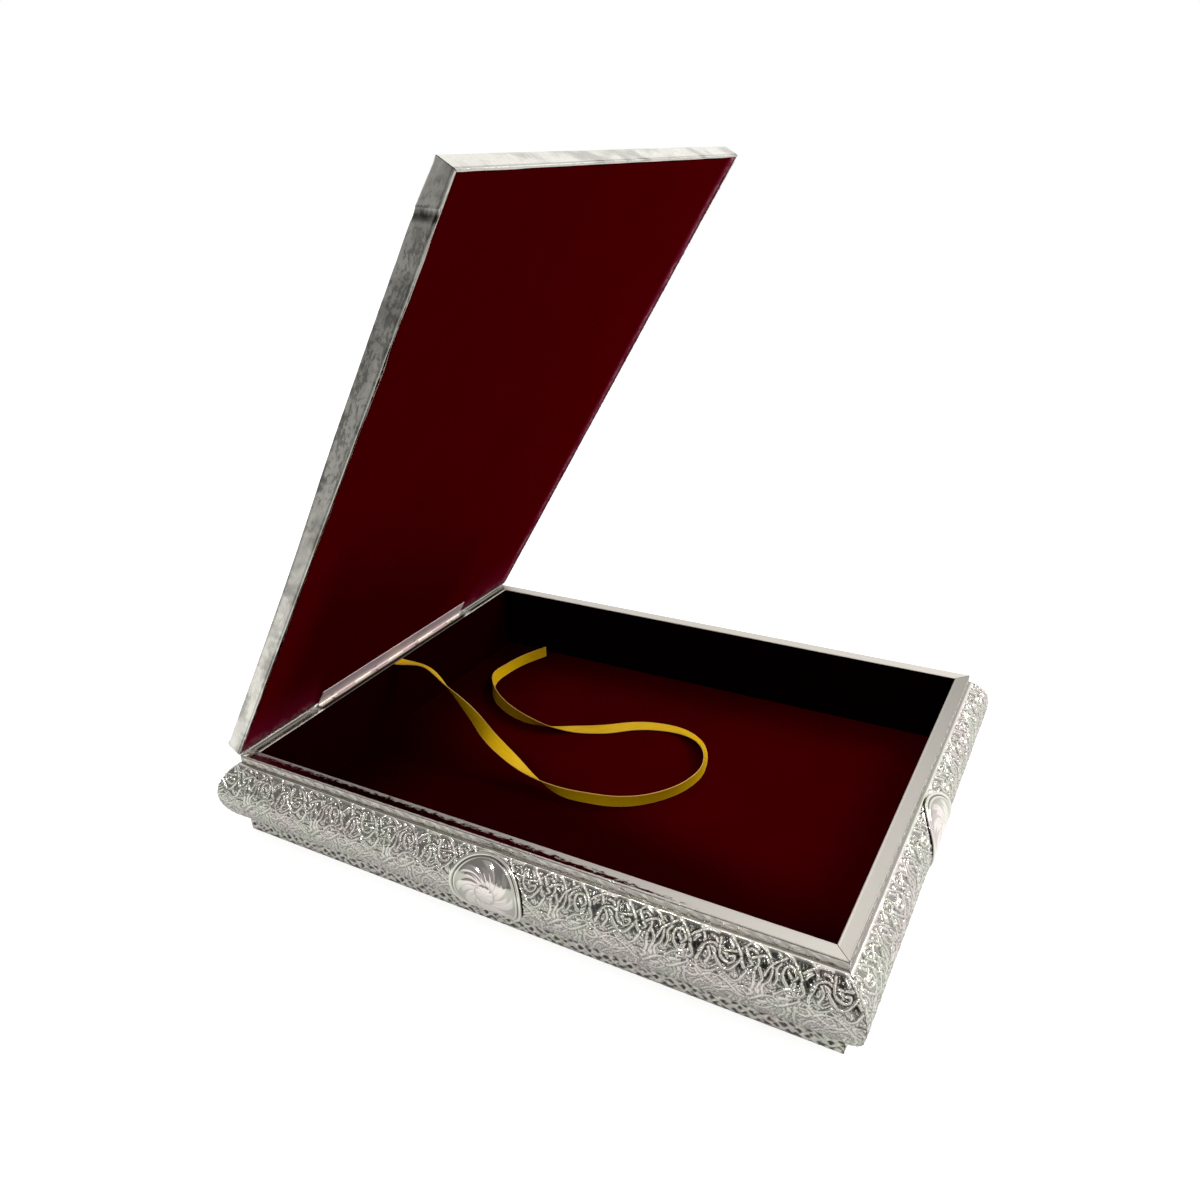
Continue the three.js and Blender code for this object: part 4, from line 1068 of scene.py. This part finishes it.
def rubbed_edge(u, y):
    """How purple and rosy the velvet is made, 0 to 1: up to 0.5 in a strip 8 mm wide along the far
    edge and, fading over up to 20 mm, at the foot beside the hinge, and more where it is ragged."""
    ragged = np.clip(0.65 + 0.5 * ripple(u, y * 2, 22, 94) + 0.3 * ripple(u, y * 3, 6, 96), 0, 1)
    streak = 103.6 + 0.9 * ripple(u, 0 * u, 40, 97)
    far = 0.5 * ramp(y, 98, 100) + 0.5 * ragged * hump(y, streak, 1.7)
    foot = 0.5 * hump(u, 0, 4 + 16 * ramp(np.abs(y), 58, 66)) + 0.3 * ragged * hump(u, 0, 9)
    return np.clip(np.maximum(far, foot * ramp(np.abs(y), 57, 60)), 0, 1)


def make_lid():
    """The lid's sheet, velvet and rosette, made flat and swung up with the lid."""
    for side in SIDES:
        make_lid_edge(side)
    middle, inset = np.array([LID_MIDDLE, 0, 0]), LID_FLANGE + GAP
    grid, shade = plate_grid(LID_LENGTH / 2 - inset, LID_WIDTH / 2 - inset, LID_OUTER - SHEET,
                             LID_OUTER, 0.9, 0.3, lid_relief)
    make_piece("lid_embossed_top", "lid", EMBOSSED, on_lid(rounded_back(grid + middle)),
               "lid_top_sheet", shade=shade, sharp=60.0)
    inset = LID_LIP + GAP
    grid, rubbed = plate_grid(LID_LENGTH / 2 - inset, LID_WIDTH / 2 - inset, -LID_INNER - 0.6,
                              -LID_INNER, 1.5, 0.4,
                              lambda x, y: (0.03 * ripple(x, y, 40, 81) - 0.03,
                                            rubbed_edge(LID_MIDDLE - x, y)))
    make_piece("lid_velvet", "lid", LID_VELVET, on_lid(grid * (-1, 1, -1) + middle), "lid_lining",
               worn=rubbed)

    def place(x, y, lift):
        return on_lid(np.stack([x + LID_MIDDLE, y, lift + LID_OUTER + GAP], -1))

    make_rosette("lid_round_rosette", "lid", "lid_rosette", place, ROSETTE_RADIUS, 1.0, 5.2, 12,
                 216, 88, 0.0)


def make_frayed_pile():
    """Loose fibres at the velvet's cut edges: slim spikes of four faces, rooted in the velvet
    at random along its foot on both sides of the hinge and along its far edge, leaning out."""
    draw = np.random.default_rng(91)
    foot, far, thickness = 1500, 1700, 0.1
    count = foot + far
    y = draw.uniform(61, 106, foot) * draw.choice([-1, 1], foot)
    roots = np.vstack([np.stack([1.4 + np.abs(draw.normal(0, 0.9, foot)), y], 1),
                       np.stack([draw.uniform(3, 279, far), 106.6 - np.abs(draw.normal(0, 0.5, far))], 1)])
    root = np.hstack([roots, np.full((count, 1), LID_INNER + 0.12)])
    lean = 1.1 * draw.normal(0, 0.55, (count, 2))
    tip = root + np.hstack([lean, -0.12 - draw.uniform(0.25, 1.0, (count, 1))])
    ring = draw.uniform(0, 2 * np.pi, (count, 1)) + np.array([0, 2, 4]) * np.pi / 3
    base = root[:, None] + thickness * np.stack([np.cos(ring), np.sin(ring), 0 * ring], -1)
    vertices = np.concatenate([base, tip[:, None]], 1).reshape(-1, 3)
    spike = np.array([[0, 1, 2], [0, 3, 1], [1, 3, 2], [2, 3, 0]])
    faces = (np.arange(count)[:, None, None] * 4 + spike).reshape(-1, 3)
    add_piece("lid_frayed_pile", "lid", PILE, on_lid(vertices), [faces], None, None, {}, 60.0)


make_lid()
make_frayed_pile()


# The frame's own solids that are seen, or hidden inside, with their finish
def dress(node, material):
    """One of the frame's own solids given its finish."""
    slots = bpy.data.objects[node].material_slots
    if slots:
        slots[0].material = material
    else:
        bpy.data.objects[node].data.materials.append(material)


for name in [side + "_wall" for side in SIDES] + ["base_board", "lid_board"]:
    dress(name, WOOD)
dress("hinge_box_leaf", BOX_LEAF_METAL)
dress("hinge_lid_leaf", LID_LEAF_METAL)
dress("hinge_pin", NAIL_STEEL)
for kind, count in (("base_nail", 8), ("hinge_box_nail", 4), ("hinge_lid_nail", 4)):
    for k in range(1, count + 1):
        dress(kind + "_" + str(k), NAIL_STEEL)


# Floor, world and lamps
def make_floor():
    """A plain white sheet of floor. What the camera sees of it is lifted to white where little
    shades it. Mirrors see it glow, as painted light: bright near the box and on the lit side,
    falling off towards the unlit room at the front left."""
    material, tree = new_material("white_floor")
    seen = add(tree, "ShaderNodeLightPath").outputs
    place = place_on(tree)
    sunny = span(tree, vectors(tree, "DOT_PRODUCT", place, (1.0, 0.35, 0.0)), 0.02, 0.14)
    near = span(tree, vectors(tree, "LENGTH", place), 0.25, 0.8, 0.9, 0.03, "SMOOTHSTEP")
    # painted shade beside the box in that glow: distance outside the tray's foot, from 0 to 70 mm
    beyond = vectors(tree, "SUBTRACT", vectors(tree, "ABSOLUTE", place), (0.141, 0.107, 0.0))
    split = add(tree, "ShaderNodeSeparateXYZ", {"Vector": beyond}).outputs
    shaded = span(tree, sums(tree, "MAXIMUM", split["X"], split["Y"]), -0.01, 0.06, 0.5, 1.0)
    mirrored = sums(tree, "MAXIMUM", sums(tree, "MULTIPLY", near, shaded), sunny)
    direct = sums(tree, "MULTIPLY", seen["Is Camera Ray"], 0.7)
    sheets = []
    for grey, strength in ((0.6, direct), (0.12, mirrored)):
        paper = add(tree, "ShaderNodeBsdfDiffuse", {"Color": (grey, grey, grey, 1)})
        glow = add(tree, "ShaderNodeEmission", {"Color": (1, 1, 1, 1), "Strength": strength})
        sheets.append(add(tree, "ShaderNodeAddShader", {0: paper.outputs[0], 1: glow.outputs[0]}))
    surface(tree, add(tree, "ShaderNodeMixShader", {0: seen["Is Glossy Ray"], 1: sheets[0].outputs[0],
                                                    2: sheets[1].outputs[0]}))
    reach, level = 6.0, -0.0002
    mesh = bpy.data.meshes.new("floor")
    mesh.from_pydata([(-reach, -reach, level), (reach, -reach, level), (reach, reach, level),
                      (-reach, reach, level)], [], [(0, 1, 2, 3)])
    mesh.materials.append(material)
    floor = bpy.data.objects.new("floor", mesh)
    bpy.context.scene.collection.objects.link(floor)


def make_world():
    """Soft white surround, dimmer towards the front left where the room is unlit:
    level = 1 falling with the cosine of the angle to that direction. The camera sees it white."""
    world = bpy.data.worlds.new("soft_studio")
    bpy.context.scene.world = world
    world.use_nodes = True
    tree = world.node_tree
    tree.nodes.clear()
    way = add(tree, "ShaderNodeTexCoord").outputs["Generated"]
    toward = vectors(tree, "DOT_PRODUCT", way, (-0.55, -0.83, 0.0))
    level = span(tree, toward, 0.05, 0.92, 1.0, 0.3, "SMOOTHSTEP")
    white = sums(tree, "MAXIMUM", level, add(tree, "ShaderNodeLightPath").outputs["Is Camera Ray"])
    background = add(tree, "ShaderNodeBackground", {"Color": (1, 1, 1, 1), "Strength": white})
    output = add(tree, "ShaderNodeOutputWorld")
    tree.links.new(background.outputs[0], output.inputs[0])


def make_lamp(name, place, target, size, power):
    """A square soft light at a place, in metres, turned to face a target."""
    data = bpy.data.lights.new(name, "AREA")
    data.shape, data.size, data.energy = "SQUARE", size, power
    lamp = bpy.data.objects.new(name, data)
    lamp.location = place
    lamp.rotation_euler = (Vector(target) - Vector(place)).to_track_quat("-Z", "Y").to_euler()
    bpy.context.scene.collection.objects.link(lamp)


make_floor()
make_world()
make_lamp("key_light", (0.9, 0.8, 1.1), (0.0, 0.0, 0.03), 0.5, 9.0)
make_lamp("sparkle_light", (-0.5, -1.2, 1.3), (0.0, -0.1, 0.03), 0.18, 4.0)

view = bpy.context.scene.view_settings
view.view_transform = "Standard"
